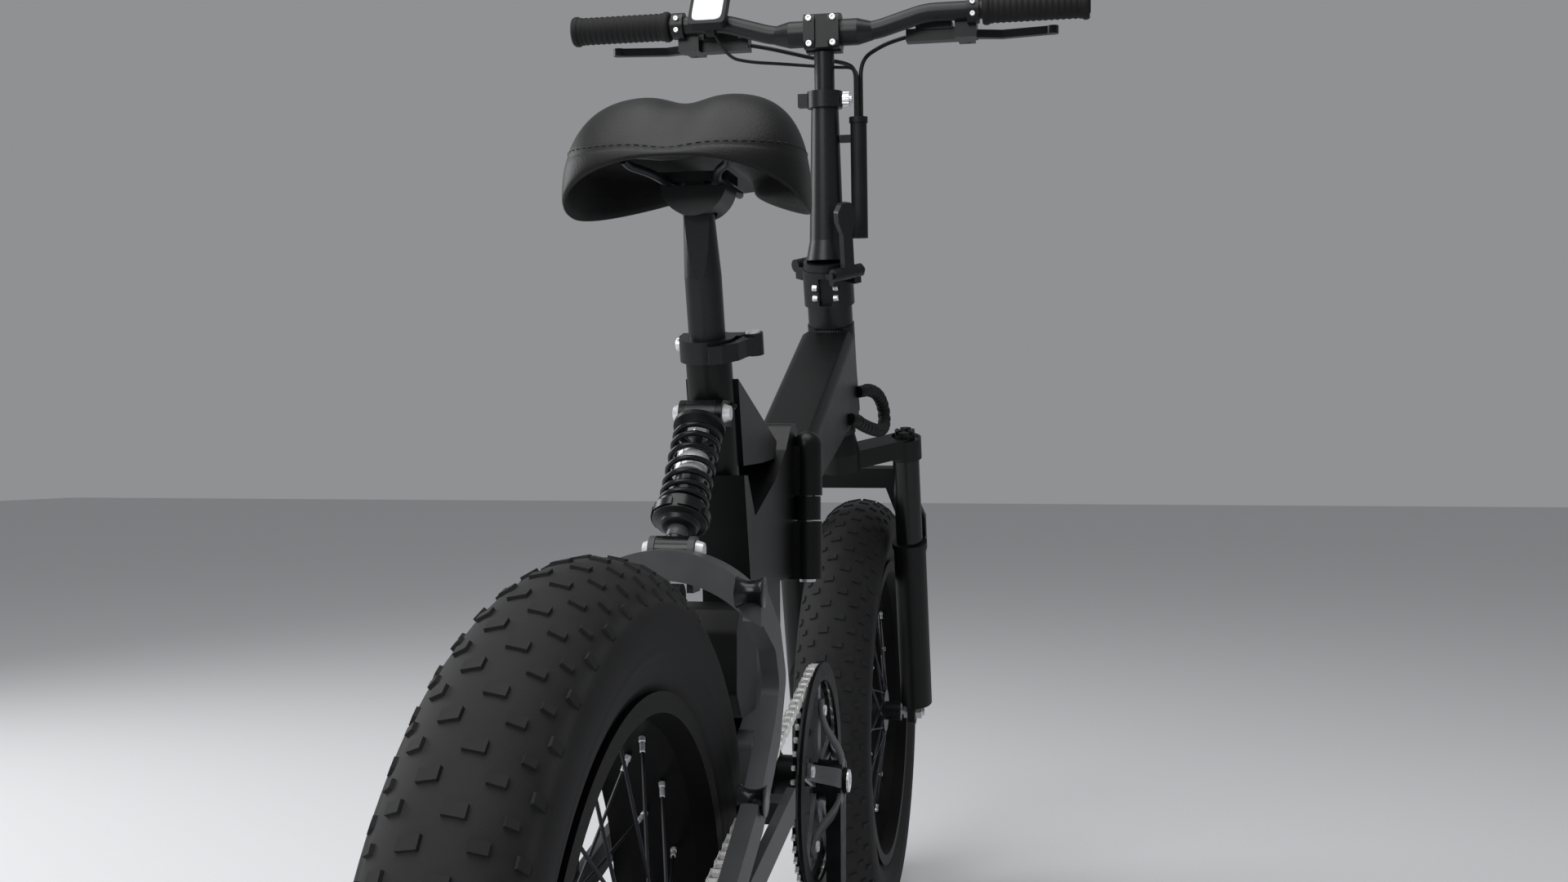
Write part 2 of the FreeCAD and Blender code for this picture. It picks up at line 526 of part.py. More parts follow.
def stem():
    """Pinch base with its hinge ears, the riser that folds on it, the latch lever and the height collar."""
    base = body("stem_base", fold)
    rod(base, (0, 0, 0), LEVEL, "base_radius", "base_height")
    for sign in (-1, 1):
        for side in (-1, 1):
            low = "knuckle_half + seat_gap" if side > 0 else "-knuckle_half - seat_gap - ear_width"
            near, far = ("22", "knuckle_offset") if sign > 0 else ("-knuckle_offset", "-22")
            block(base, (near, low, "base_height - 16"), (far, f"({low}) + ear_width", "base_height"))
            rod(base, (f"{sign} * knuckle_offset", low, "base_height"), TO_Y, "knuckle_radius", "ear_width")
    rod(base, ("knuckle_offset", "-knuckle_half - ear_width", "base_height"), TO_Y, "hinge_pin_radius",
        "(knuckle_half + ear_width) * 2")
    rod(base, ("-knuckle_offset", "-knuckle_half - ear_width - 5", "base_height"), TO_Y,
        "hinge_pin_radius + running_fit", "(knuckle_half + ear_width) * 2 + 10", "Subtractive")
    rod(base, (0, 0, -1), LEVEL, "steerer_radius + running_fit", "base_height + 2", "Subtractive")
    spin = Turn(UP, 135)
    for low, width, tall, deep in (("4", "15", "34", "9"), ("9", "50", "9", "5.5"),
                                   ("22", "50", "9", "5.5")):
        edge = spin.multVec(V(size("base_radius") - size(deep), -size(width) / 2, 0))
        solid(base, "SubtractiveBox", (edge.x, edge.y, low), spin, Length="20", Width=width, Height=tall)

    tall = body("stem_riser", riser)
    to_fold = riser.inverse() * fold
    low = "base_height + seat_gap"
    disc = solid(tall, "AdditiveCylinder", (0, 0, 0), LEVEL, Radius="foot_radius", Height="foot_height")
    arm = solid(tall, "AdditiveBox", (0, 0, 0), LEVEL, Length="knuckle_offset - 20",
                Width="knuckle_half * 2",
                Height="knuckle_radius")
    knuckle = solid(tall, "AdditiveCylinder", (0, 0, 0), LEVEL, Radius="knuckle_radius",
                    Height="knuckle_half * 2")
    bore = solid(tall, "SubtractiveCylinder", (0, 0, 0), LEVEL, Radius="hinge_pin_radius + running_fit",
                 Height="knuckle_half * 2 + 4")
    for piece, at, turn in (
        (disc, (0, 0, low), LEVEL), (arm, ("20", "-knuckle_half", low), LEVEL),
        (knuckle, ("knuckle_offset", "-knuckle_half", "base_height"), TO_Y),
        (bore, ("knuckle_offset", "-knuckle_half - 2", "base_height"), TO_Y),
    ):
        for letter in "xyz":
            piece.setExpression(f"Placement.Base.{letter}", None)
        piece.Placement = to_fold * Frame(spot(at), turn)
    solid(tall, "AdditiveCone", (0, 0, "0"), LEVEL, Radius1="foot_radius - 4", Radius2="riser_low_radius",
          Height="flare_height")
    solid(tall, "AdditiveCone", (0, 0, "flare_height"), LEVEL, Radius1="riser_low_radius",
          Radius2="riser_top_radius",
          Height="riser_length - flare_height")
    rod(tall, (0, 0, "post_end - 60"), LEVEL, "post_radius + running_fit", "riser_length", "Subtractive")

    lever = body("stem_latch_lever", fold)
    rod(lever, ("-knuckle_offset", "-knuckle_half", "base_height"), TO_Y, "knuckle_radius",
        "knuckle_half * 2")
    rod(lever, ("-knuckle_offset", "-knuckle_half - ear_width - 4", "base_height"), TO_Y,
        "hinge_pin_radius",
        "(knuckle_half + ear_width + 4) * 2")
    neck, club, tip = "7", "13", "base_height + lever_length"
    corners = [
        (f"-{neck}", "base_height"), (neck, "base_height"), (neck, f"{tip} - 38"), (club, f"{tip} - 22"),
        (club, f"{tip} - 10"), (f"{club} - 7", tip), (f"7 - {club}", tip), (f"-{club}", f"{tip} - 10"),
        (f"-{club}", f"{tip} - 22"), (f"-{neck}", f"{tip} - 38"),
    ]
    pad(lever, outline(lever, "YZ_Plane", corners, lift="-knuckle_offset - 2"), "lever_wall")
    soften(lever, "5", lambda middle, heading, edge: abs(heading.x) > 0.9 and middle.z > size(f"{tip} - 30"))

    collar = body("riser_collar", riser)
    low = "riser_length - collar_drop"
    rod(collar, (0, 0, low), LEVEL, "collar_radius", "collar_height")
    block(collar, ("-6", "collar_radius - 4", f"{low} + 2"),
          ("7", "collar_radius + 11", f"{low} + collar_height - 2"))
    block(collar, ("-6", "-collar_radius - 1", f"{low} + 3"),
          ("6", "5 - collar_radius", f"{low} + collar_height - 3"))
    rod(collar, (0, 0, f"{low} - 1"), LEVEL, "riser_top_radius + seat_gap + running_fit",
        "collar_drop + 1 + seat_gap", "Subtractive")
    rod(collar, (0, 0, low), LEVEL, "post_radius + running_fit", "collar_height + 5", "Subtractive")
    block(collar, ("-1.2", "post_radius", f"{low} - 1"), ("1.2", "collar_radius + 20", f"{low} + 30"),
          "Subtractive")

    knob = body("collar_knob", riser)
    middle = f"{low} + collar_height / 2"
    rod(knob, (0, "-collar_radius - 1 - face_gap - 8", middle), TO_Y, "9", "8")
    rod(knob, (0, "-collar_radius - 12", middle), TO_Y, "5", "4")
    for angle in range(0, 360, 30):
        rod(knob, (f"9.6 * cos({angle})", "-collar_radius - 10", f"{middle} + 9.6 * sin({angle})"), TO_Y,
            "1.3", "12", "Subtractive")


def handlebar():
    """Telescopic post, bar clamp, bar, grips, brake levers, display and the lines into their sleeve."""
    post = body("handlebar_post", bars)
    outer = "bar_mid_radius + clamp_wall"
    rod(post, (0, 0, "post_end - bar_height"), LEVEL, "post_radius",
        "bar_height - post_end - bar_mid_radius - 1")
    rod(post, (0, "-clamp_width / 2", 0), TO_Y, outer, "clamp_width")
    block(post, ("-4", "-clamp_width / 2", f"-({outer})"), ("13", "clamp_width / 2", 0))
    block(post, (f"-({outer}) - 5", "-clamp_width", "-40 + 17"), ("-4", "clamp_width", "60"), "Subtractive")
    rod(post, (0, "-clamp_width", 0), TO_Y, "bar_mid_radius + running_fit", "clamp_width * 2",
        "Subtractive")

    plate = body("stem_faceplate", bars)
    block(plate, (f"-({outer})", "-clamp_width / 2", "-bar_mid_radius - 5"),
          ("-4 - seat_gap", "clamp_width / 2", "bar_mid_radius + 5"))
    behind = -size("bar_mid_radius")
    soften(plate, "9", lambda middle, heading, edge: abs(heading.y) > 0.9 and middle.x < behind)
    rod(plate, (0, "-clamp_width", 0), TO_Y, "bar_mid_radius + running_fit", "clamp_width * 2",
        "Subtractive")
    block(plate, (f"-({outer}) - 1", "-8", "-bar_mid_radius - 8"),
          ("-bar_mid_radius - 3", "8", "bar_mid_radius + 8"), "Subtractive")

    half = [spot((0, text, rise)) for text, rise in (
        ("bend_start", 0), ("bend_end", "bar_rise"), ("bar_half", "bar_rise"))]
    ends = [V(p.x, -p.y, p.z) for p in reversed(half)]
    shape, radii = tube(ends + half, size("bar_radius"), 90)
    print("handlebar bend radii", [round(r) for r in radii])
    middle = Part.makeCylinder(size("bar_mid_radius"), size("bar_mid_half") * 2,
                               spot((0, "-bar_mid_half", 0)), SIDE)
    shape = shape.fuse(middle)
    for side in (-1, 1):
        taper = Part.makeCone(size("bar_mid_radius"), size("bar_radius"), 18,
                              spot((0, f"{side} * bar_mid_half", 0)),
                              SIDE * side)
        shape = shape.fuse(taper)
    made("handlebar", shape.removeSplitter(), bars)

    def across(side, start, width):
        """Where a piece of this width starts along Y when it begins this far out on one side."""
        return start if side > 0 else f"-({start}) - ({width})"

    grips = body("grips", bars)
    length = "bar_half - grip_start - 1"
    for side in (1, -1):
        for start, radius, width in (("grip_start", "grip_radius", length),
                                     ("grip_start", "ring_radius", "ring_width"),
                                     ("bar_half - ring_width - 1", "ring_radius", "ring_width")):
            rod(grips, (0, across(side, start, width), "bar_rise"), TO_Y, radius, width)
    rod(grips, (0, "-bar_half - 5", "bar_rise"), TO_Y, "bar_radius + running_fit", "bar_half * 2 + 10",
        "Subtractive")

    masters = body("brake_masters", bars)
    drop = "bar_rise - 30"
    boxes = [
        ("4", "33", "lever_side - 14", "26", drop, "bar_rise - 4"),
        ("17", "37", "lever_side - 74", "64", drop, f"{drop} + 15"),
        ("14", "40", "lever_side - 62", "44", f"{drop} + 13", f"{drop} + 22"),
        ("30", "lever_forward + 8", "lever_side - 12", "20", drop, f"{drop} + 4.6"),
        ("30", "lever_forward + 8", "lever_side - 12", "20", f"{drop} + 15", f"{drop} + 19.5"),
    ]
    for side in (1, -1):
        rod(masters, (0, across(side, "lever_side + 2", "14"), "bar_rise"), TO_Y, "bar_radius + 5", "14")
        for near, far, start, width, low, high in boxes:
            y = across(side, start, width)
            block(masters, (near, y, low), (far, f"{y} + {width}", high))
    for side in (1, -1):
        rod(masters, ("lever_forward", f"{side} * lever_side", f"{drop} - 5"), LEVEL, "3", "40",
            "Subtractive")
    rod(masters, (0, "-bar_half", "bar_rise"), TO_Y, "bar_radius + running_fit", "bar_half * 2",
        "Subtractive")

    for side, name in ((1, "left"), (-1, "right")):
        lever = body(f"brake_lever_{name}", bars)
        plan = [
            ("lever_forward - 8", "lever_side - 7"), ("lever_forward + 7", "lever_side - 7"),
            ("lever_forward + 9", "lever_side + 14"), ("lever_forward + 17", "lever_side + 40"),
            ("lever_forward + 6", "lever_tip - 10"), ("lever_forward + 4", "lever_tip"),
            ("lever_forward - 6", "lever_tip"), ("lever_forward - 4", "lever_tip - 12"),
            ("lever_forward + 6", "lever_side + 40"), ("lever_forward - 5", "lever_side + 12"),
        ]
        corners = [(a, f"{side} * ({b})") for a, b in plan]
        pad(lever, outline(lever, "XY_Plane", corners, lift=f"{drop} + 9.8"), "9.6")
        rod(lever, ("lever_forward", f"{side} * lever_side", f"{drop} + 0.4"), LEVEL, "3 - running_fit",
            "18.6")
        rod(lever, ("lever_forward - 2", f"{side} * (lever_tip - 3)", f"{drop} + 5"), LEVEL, "7", "9.6")

    display = body("display", bars)
    tilt = Turn(SIDE, size("display_tilt"))
    solid(display, "AdditiveBox", ("-33", "display_side - display_width / 2", "bar_rise - 4"), tilt,
          Length="display_wall", Width="display_width", Height="display_length")
    across_case = tilt.multVec(V(1, 0, 0))
    soften(display, "5", lambda middle, heading, edge: abs(heading.dot(across_case)) > 0.9)
    rod(display, (0, "display_side - 6", "bar_rise"), TO_Y, "bar_radius + 4", "12")
    rod(display, (0, "display_side - 30", "bar_rise"), TO_Y, "bar_radius + running_fit", "60",
        "Subtractive")

    sleeve = body("cable_sleeve", riser)
    rod(sleeve, (0, "-sleeve_side", "sleeve_low"), LEVEL, "sleeve_radius", "sleeve_top - sleeve_low")
    rod(sleeve, (0, "-sleeve_side", "sleeve_top - 7"), LEVEL, "sleeve_radius + 1.3", "7")
    taper = "(riser_low_radius - riser_top_radius) / (riser_length - flare_height)"
    for z in ("sleeve_low + 12", "sleeve_top - 30"):
        reach = f"riser_low_radius - ({z} - flare_height) * {taper}"
        block(sleeve, ("-4", "-sleeve_side", z), ("4", f"-({reach}) - seat_gap - 0.4", f"{z} + 9"))
    rod(sleeve, (0, "-sleeve_side", "sleeve_low + 4"), LEVEL, "sleeve_bore", "sleeve_top", "Subtractive")

    entry = V(0, -size("sleeve_side"), 0)
    routes = [
        (size("hose_radius"), V(2.8, 3.2, 0), [
            V(27, 97, -5), V(28, 76, -9), V(31, 48, -18), V(32, 14, -30), V(22, -20, -38)]),
        (size("hose_radius"), V(2.8, -3.2, 0), [
            V(27, -97, -5), V(26, -80, -9), V(20, -62, -20), V(9, -49, -34)]),
        (size("wire_radius"), V(-4, 0, 0), [
            V(-9, 134, 4), V(-9, 120, -24), V(0, 92, -32), V(14, 60, -34), V(21, 26, -38), V(20, -8, -46)]),
    ]
    lines = []
    for radius, shift, points in routes:
        down = [entry + shift + V(0, 0, z) for z in (-50, -92, -140)]
        shape, radii = tube(points + down[:1] + down[2:], radius)
        print("line bend radii", [round(r) for r in radii])
        lines.append(shape)
    made("brake_hoses", Part.makeCompound(lines), bars)


def front_half():
    """Deep box beam welded to the head tube, hinge plate and knuckle, battery inside, harness loop."""
    beam = body("main_beam")
    face = "hinge_x + face_gap"

    def along(share):
        """A place on the way from the hinge to the steering head."""
        return f"hinge_x + ({HEAD_X} - hinge_x) * {share}"

    corners = [
        (face, "plate_top - 12"), (along(0.223), "679"), (along(0.83), "807"), (along(0.9586), "706"),
        (along(0.3011), "624"), (along(0.1034), "598"), (face, "plate_low + 34"),
    ]
    pad(beam, outline(beam, "XZ_Plane", corners), "beam_half * 2")
    soften(beam, "beam_round", lambda middle, heading,
           edge: abs(heading.y) < 0.1 and middle.x < size(along(0.793))
           and middle.x > size("hinge_x + 5"))
    block(beam, (face, "hinge_side + barrel_radius + 0.6", "plate_low"),
          (f"{face} + plate_wall", "plate_half", "plate_top"))
    block(beam, (f"{face} + 1", "hinge_side", "front_knuckle_low"),
          (f"{face} + plate_wall", "0", "front_knuckle_top"))
    rod(beam, ("hinge_x", "hinge_side", "front_knuckle_low"), LEVEL, "barrel_radius - 1.5",
        "front_knuckle_top - front_knuckle_low")
    tilt = Turn(SIDE, -size("head_angle"))
    rod(beam, (HEAD_X, 0, "head_z"), tilt, "head_radius", "head_length")
    wall = "beam_wall"
    hollow = [
        ("hinge_x - 5", f"plate_top - 12 - {wall} - 4"), (along(0.223), f"679 - {wall} - 1"),
        (along(0.784), f"795 - {wall} - 2"), (along(0.8345), f"700 + {wall}"),
        (along(0.3011), f"624 + {wall} + 1"),
        (along(0.1034), f"598 + {wall} + 1"), ("hinge_x - 5", f"plate_low + 34 + {wall} + 2"),
    ]
    pad(beam, outline(beam, "XZ_Plane", hollow), f"(beam_half - {wall}) * 2", "Pocket")
    solid(beam, "SubtractiveCylinder", (f"{HEAD_X} + sin(head_angle) * 5", 0,
                                        "head_z - 5 * cos(head_angle)"), tilt,
          Radius="head_bore", Height="head_length + 10")
    for low, high in (("barrel_low - 5", "front_knuckle_low"), ("front_knuckle_top", "plate_top + 20")):
        rod(beam, ("hinge_x", "hinge_side", low), LEVEL, "barrel_radius + 0.7", f"{high} - ({low})",
            "Subtractive")
    rod(beam, ("hinge_x", "hinge_side", "front_knuckle_low - 5"), LEVEL, "frame_pin_radius + running_fit",
        "60",
        "Subtractive")

    pack = body("battery_pack")
    gap = "(beam_wall + 2)"
    corners = [
        ("hinge_x + 18", f"plate_top - 12 - {gap} - 4"), (along(0.223), f"679 - {gap} - 3"),
        (along(0.6828), f"771 - {gap} - 3"), (along(0.7287), f"689 + {gap}"),
        (along(0.3011), f"624 + {gap} + 3"),
        (along(0.1034), f"598 + {gap} + 3"), ("hinge_x + 18", f"plate_low + 36 + {gap} + 5"),
    ]
    pad(pack, outline(pack, "XZ_Plane", corners), "(beam_half - beam_wall - 0.3) * 2")

    side = -size("beam_half")
    points = [head.Base + V(ahead, side - out, rise) for ahead, out, rise in (
        (-40, 8, 39), (-18, 12, 41), (12, 19, 36), (40, 22, 19), (34, 24, -2), (-4, 24, -11), (-54, 19, -9),
        (-86, 10, -3), (-102, 8, 1))]
    shape, radii = tube(points, 7.5)
    print("harness bend radii", [round(r) for r in radii])
    made("harness_loop", shape)


def shock_bolt(owner, x, z):
    """Bolt through a shock eye and its two clevis ears, with a tapered head at each end."""
    half = "eye_half + seat_gap + ear_wall"
    rod(owner, (x, f"-({half}) - 4", z), TO_Y, "shock_bolt", f"({half}) * 2 + 8")
    for start, wide, thin in ((f"-({half}) - head_tall", "bolt_head - 2", "bolt_head"),
                              (f"{half} + face_gap", "bolt_head", "bolt_head - 2")):
        solid(owner, "AdditiveCone", (x, start, z), TO_Y, Radius1=wide, Radius2=thin,
              Height="head_tall - face_gap")


def rear_half():
    """Welded rear frame, hinge pin, bottom bracket, seat clamp, controller box and the pivot bolts."""
    frame = body("rear_frame")
    face = "hinge_x - face_gap"
    lower = [
        (face, "barrel_low + 3"), (face, "plate_top + 4"), ("hinge_x - 22", "plate_top + 4"),
        ("hinge_x - 50", "plate_top - 22"),
        ("-150", "632"), ("-232", "604"), ("-262", "640"), ("-276", "640"), ("-250", "548"),
        ("-110", "barrel_low + 3"),
    ]
    pad(frame, outline(frame, "XZ_Plane", lower), "box_half * 2")
    soften(frame, "14", lambda middle, heading, edge: abs(heading.y) > 0.9 and middle.z > 655
           and middle.x < size("hinge_x - 10"))
    arm = [
        ("-84", "barrel_low + 5"), ("bb_x + bb_radius - 2", "bb_z"), ("bb_x", "bb_z - bb_radius + 2"),
        ("bb_x - 24", "bb_z - 12"),
        ("pivot_x + 4", "pivot_z - 15"), ("pivot_x + 2", "pivot_z + 16"), ("-206", "452"),
        ("-216", "barrel_low + 25"),
    ]
    pad(frame, outline(frame, "XZ_Plane", arm), "arm_half * 2")
    rod(frame, ("bb_x", "-bb_half", "bb_z"), TO_Y, "bb_radius", "bb_half * 2")
    rod(frame, ("pivot_x", "-arm_half", "pivot_z"), TO_Y, "pivot_radius", "arm_half * 2")
    for start in ("eye_half + seat_gap", "-eye_half - seat_gap - ear_wall"):
        rod(frame, ("shock_top_x", start, "shock_top_z"), TO_Y, "eye_radius", "ear_wall")
        block(frame, ("shock_top_x", start, "shock_top_z - eye_radius"),
              ("seat_x + 12", f"{start} + ear_wall", "shock_top_z + eye_radius"))
    gusset = [
        ("-268", "722"), ("hinge_x - 60", "670"), ("hinge_x - 66", "654"), ("-170", "650"), ("-247", "648"),
    ]
    pad(frame, outline(frame, "XZ_Plane", gusset), "gusset_half * 2")
    tilt = Turn(SIDE, -size("seat_angle"))
    lean = f"seat_tube_length * sin(seat_angle)"
    rod(frame, (f"seat_x + {lean}", 0, "seat_z - seat_tube_length * cos(seat_angle)"), tilt,
        "seat_tube_radius",
        "seat_tube_length")
    for low, high in (("barrel_low", "front_knuckle_low - 2"), ("front_knuckle_top + 1", "barrel_top")):
        rod(frame, ("hinge_x", "hinge_side", low), LEVEL, "barrel_radius", f"{high} - ({low})")
        block(frame, ("hinge_x - barrel_radius + 1", "hinge_side", low), (face, "-box_half + 6", high))
    solid(frame, "AdditiveSphere", ("hinge_x", "hinge_side", "barrel_top"), LEVEL, Radius="barrel_radius")
    rod(frame, ("hinge_x", "hinge_side", "barrel_low - 5"), LEVEL, "frame_pin_radius + running_fit",
        "barrel_top - barrel_low + 3", "Subtractive")
    rod(frame, ("hinge_x", "hinge_side", "front_knuckle_low - 1.5"), LEVEL, "barrel_radius - 0.5",
        "front_knuckle_top - front_knuckle_low + 2.3", "Subtractive")
    rod(frame, (f"seat_x + 190 * sin(seat_angle)", 0, "seat_z - 190 * cos(seat_angle)"), tilt,
        "post_tube_radius + running_fit", "260", "Subtractive")
    rod(frame, ("bb_x", "-bb_half - 5", "bb_z"), TO_Y, "bb_bore + running_fit", "bb_half * 2 + 10",
        "Subtractive")
    rod(frame, ("pivot_x", "-arm_half - 5", "pivot_z"), TO_Y, "pivot_bolt + running_fit",
        "arm_half * 2 + 10", "Subtractive")
    rod(frame, ("shock_top_x", "-50", "shock_top_z"), TO_Y, "shock_bolt + running_fit", "100",
        "Subtractive")
    block(frame, ("hinge_x - 60", "-box_half + 9", "barrel_low + 40"), (face, "box_half - 9", "plate_top - 42"),
          "Subtractive")

    latch_z = "plate_low + 74"
    for low in (f"{latch_z} - 20", f"{latch_z} + 12 + seat_gap"):
        block(frame, ("hinge_x - 25", "box_half - 2", low),
              ("hinge_x - 7", "box_half + 20", f"{low} + 8 - seat_gap"))
    rod(frame, ("hinge_x - 16", "box_half + 11", f"{latch_z} - 30"), LEVEL, "4 + running_fit", "60",
        "Subtractive")

    pins = body("frame_pins")
    rod(pins, ("hinge_x", "hinge_side", "barrel_low - 3"), LEVEL, "frame_pin_radius",
        "barrel_top - barrel_low")
    rod(pins, ("hinge_x", "hinge_side", "barrel_low - 3 - face_gap"), LEVEL, "frame_pin_radius + 3", "3")

    cups = body("bottom_bracket_cups")
    for start, tall in (("-bb_half - 4", "24"), ("bb_half - 20", "24")):
        rod(cups, ("bb_x", start, "bb_z"), TO_Y, "bb_bore", tall)
    for start in ("-bb_half - 4", "bb_half + face_gap"):
        rod(cups, ("bb_x", start, "bb_z"), TO_Y, "bb_radius - 1", "4 - face_gap")
    rod(cups, ("bb_x", "-bb_half * 2", "bb_z"), TO_Y, "spindle_radius + running_fit", "bb_half * 4",
        "Subtractive")

    rod(pins, ("pivot_x", "-46", "pivot_z"), TO_Y, "pivot_bolt", "92")
    for start in ("-46", "39.5"):
        rod(pins, ("pivot_x", start, "pivot_z"), TO_Y, "pivot_bolt + 4", "6.5")
    shock_bolt(pins, "shock_top_x", "shock_top_z")

    box = body("controller_box")
    corners = [("-236", "438"), ("-236", "530"), ("-300", "530"), ("-312", "512"), ("-312", "462"),
               ("-292", "438")]
    pad(box, outline(box, "XZ_Plane", corners), "64")
    soften(box, "8", lambda middle, heading, edge: abs(heading.y) > 0.9)
    block(box, ("-238", "-16", "500"), ("-213.2", "16", "526"))

    ring = body("seat_clamp", seat)
    rod(ring, (0, 0, "clamp_low"), LEVEL, "clamp_ring", "clamp_tall")
    block(ring, ("10", "-clamp_ring - 3", "clamp_low + 1"), ("24", "-12", "clamp_low + clamp_tall - 1"))
    block(ring, ("10", "12", "clamp_low + 1"), ("24", "clamp_ring + 3", "clamp_low + clamp_tall - 1"))
    rod(ring, (0, 0, "clamp_low - 1"), LEVEL, "seat_tube_radius + running_fit + seat_gap", "8 + seat_gap",
        "Subtractive")
    rod(ring, (0, 0, "clamp_low - 5"), LEVEL, "post_tube_radius + running_fit", "50", "Subtractive")
    block(ring, ("0", "-1.5", "-30"), ("40", "1.5", "40"), "Subtractive")

    lever = body("seat_qr_lever", seat)
    middle = "clamp_low + clamp_tall / 2"
    pivot = "-clamp_ring - 3 - 8.5 - seat_gap"
    rod(lever, ("17", pivot, "clamp_low"), LEVEL, "8.5", "clamp_tall")
    reach, wall = "(clamp_ring + 3)", "7"
    bend = [(f"{reach} * cos({angle})", f"{reach} * sin({angle})") for angle in (-92, -118, -146, -168)]
    back = [(f"({reach} + {wall}) * cos({angle})", f"({reach} + {wall}) * sin({angle})")
            for angle in (-165, -146, -118, -95)]
    back += [("17", f"{pivot} - 8"), ("17", f"{pivot} + 7")]
    pad(lever, outline(lever, "XY_Plane", bend + back, lift=middle), "clamp_tall - 4")

    latch = body("frame_latch_lever")
    z = latch_z
    rod(latch, ("hinge_x - 16", "box_half + 11", f"{z} - 12"), LEVEL, "9", "24")
    plan = [
        ("hinge_x - 12", "box_half + 4"), ("hinge_x - 12", "box_half + 18"),
        ("hinge_x - 60", "box_half + 14"),
        ("hinge_x - 104", "box_half + 16"), ("hinge_x - 108", "box_half + 8"),
        ("hinge_x - 60", "box_half + 5"),
    ]
    pad(latch, outline(latch, "XY_Plane", plan, lift=z), "22")
    rod(latch, ("hinge_x - 16", "box_half + 11", f"{z} - 20"), LEVEL, "4", "40")


def seat_group():
    """Post with its forged head, saddle clamp, rails and the padded saddle."""
    post = body("seat_post", seat)
    rod(post, (0, 0, "post_tube_end"), LEVEL, "post_tube_radius",
        "post_tube_top - post_neck - post_tube_end")
    solid(post, "AdditiveCone", (0, 0, "post_tube_top - post_neck"), LEVEL, Radius1="post_tube_radius",
          Radius2="post_head", Height="post_neck")
    rod(post, (0, 0, "post_tube_end - 1"), LEVEL, "post_tube_radius - post_tube_wall",
        "post_tube_top - post_neck - post_tube_end - 5", "Subtractive")
    solid(post, "SubtractiveBox", ("-post_tube_radius - 20", "-20", "post_tube_top - post_neck"),
          Turn(SIDE, 9),
          Length="20", Width="40", Height="post_neck + 20")

    level = seat * spot((0, 0, "post_tube_top"))
    clamp = body("saddle_clamp", Frame(level, LEVEL))
    rod(clamp, ("-18", 0, "14 + rail_radius"), TO_X, "rail_half + 6", "38")
    block(clamp, ("-20", "-rail_half - 9", "14"), ("24", "rail_half + 9", "60"), "Subtractive")
    rod(clamp, ("20 * sin(seat_angle)", 0, "-20 * cos(seat_angle)"), Turn(SIDE, -size("seat_angle")),
        "post_tube_radius", "20 + running_fit", "Subtractive")
    block(clamp, ("-17", "-rail_half - 7", "14.1 + rail_radius"),
          ("19", "rail_half + 7", "22 + rail_radius"))
    block(clamp, ("-12", "-8", "13"), ("14", "8", "16 + rail_radius"))
    for side in (-1, 1):
        rod(clamp, ("-40", f"{side} * rail_half", "14 + rail_radius - 0.5"), TO_X, "rail_radius + 0.3",
            "80",
            "Subtractive")

    origin = level + V(0, 0, size("14 + rail_radius - 0.5"))
    rails = []
    under = size("saddle_base") - origin.z - size("rail_radius") - 0.4
    for side in (-1, 1):
        points = [
            V(-72, side * 42, under), V(-62, side * 40, under - 3), V(-46, side * 28, 3),
            V(-26, side * 22, 0),
            V(40, side * 22, 0), V(72, side * 17, under * 0.45), V(104, side * 11, under),
        ]
        rails.append(tube(points, size("rail_radius"))[0])
    made("saddle_rails", Part.makeCompound(rails), Frame(origin, LEVEL))

    rear, nose, half = size("saddle_rear"), size("saddle_nose"), size("saddle_half")
    top, base = size("saddle_top"), size("saddle_base")
    # share of the length, of the half width and of the crown, dip along the middle, drop of the wings, lip
    stations = (
        (0.0, 0.60, 0.48, 2, 5, 10), (0.09, 0.90, 0.84, 7, 20, 0), (0.24, 1.0, 1.0, 8, 40, 0),
        (0.42, 0.82, 0.93, 6, 36, 0),
        (0.60, 0.46, 0.82, 3, 20, 0), (0.80, 0.29, 0.73, 1, 11, 0), (0.97, 0.21, 0.58, 0.5, 6, 0),
        (1.0, 0.14, 0.42, 0.3, 3, 0),
    )
    rings = []
    for along, wide, tall, dip, drop, lip in stations:
        x = rear + (nose - rear) * along
        w, floor, crest = half * wide, base - lip, base + (top - base) * tall
        low = floor - drop
        waist = low + (crest - low) * 0.26
        side = [(0.9, low), (0.98, low + (waist - low) * 0.4), (1.0, waist),
                (0.9, waist + (crest - waist) * 0.55),
                (0.55, crest), (0.22, crest - dip * 0.7)]
        skin = [V(x, share * w, z) for share, z in side] + [V(x, 0, crest - dip)]
        skin += [V(x, -share * w, z) for share, z in reversed(side)]
        crown = Part.BSplineCurve()
        crown.interpolate(skin)
        edges = [
            Part.LineSegment(V(x, -0.6 * w, floor), V(x, 0.6 * w, floor)),
            Part.Arc(V(x, 0.6 * w, floor), V(x, 0.8 * w, floor - drop * 0.4), skin[0]),
            crown,
            Part.Arc(skin[-1], V(x, -0.8 * w, floor - drop * 0.4), V(x, -0.6 * w, floor)),
        ]
        rings.append(Part.Wire([edge.toShape() for edge in edges]))
    made("saddle", Part.makeLoft(rings, True, False))


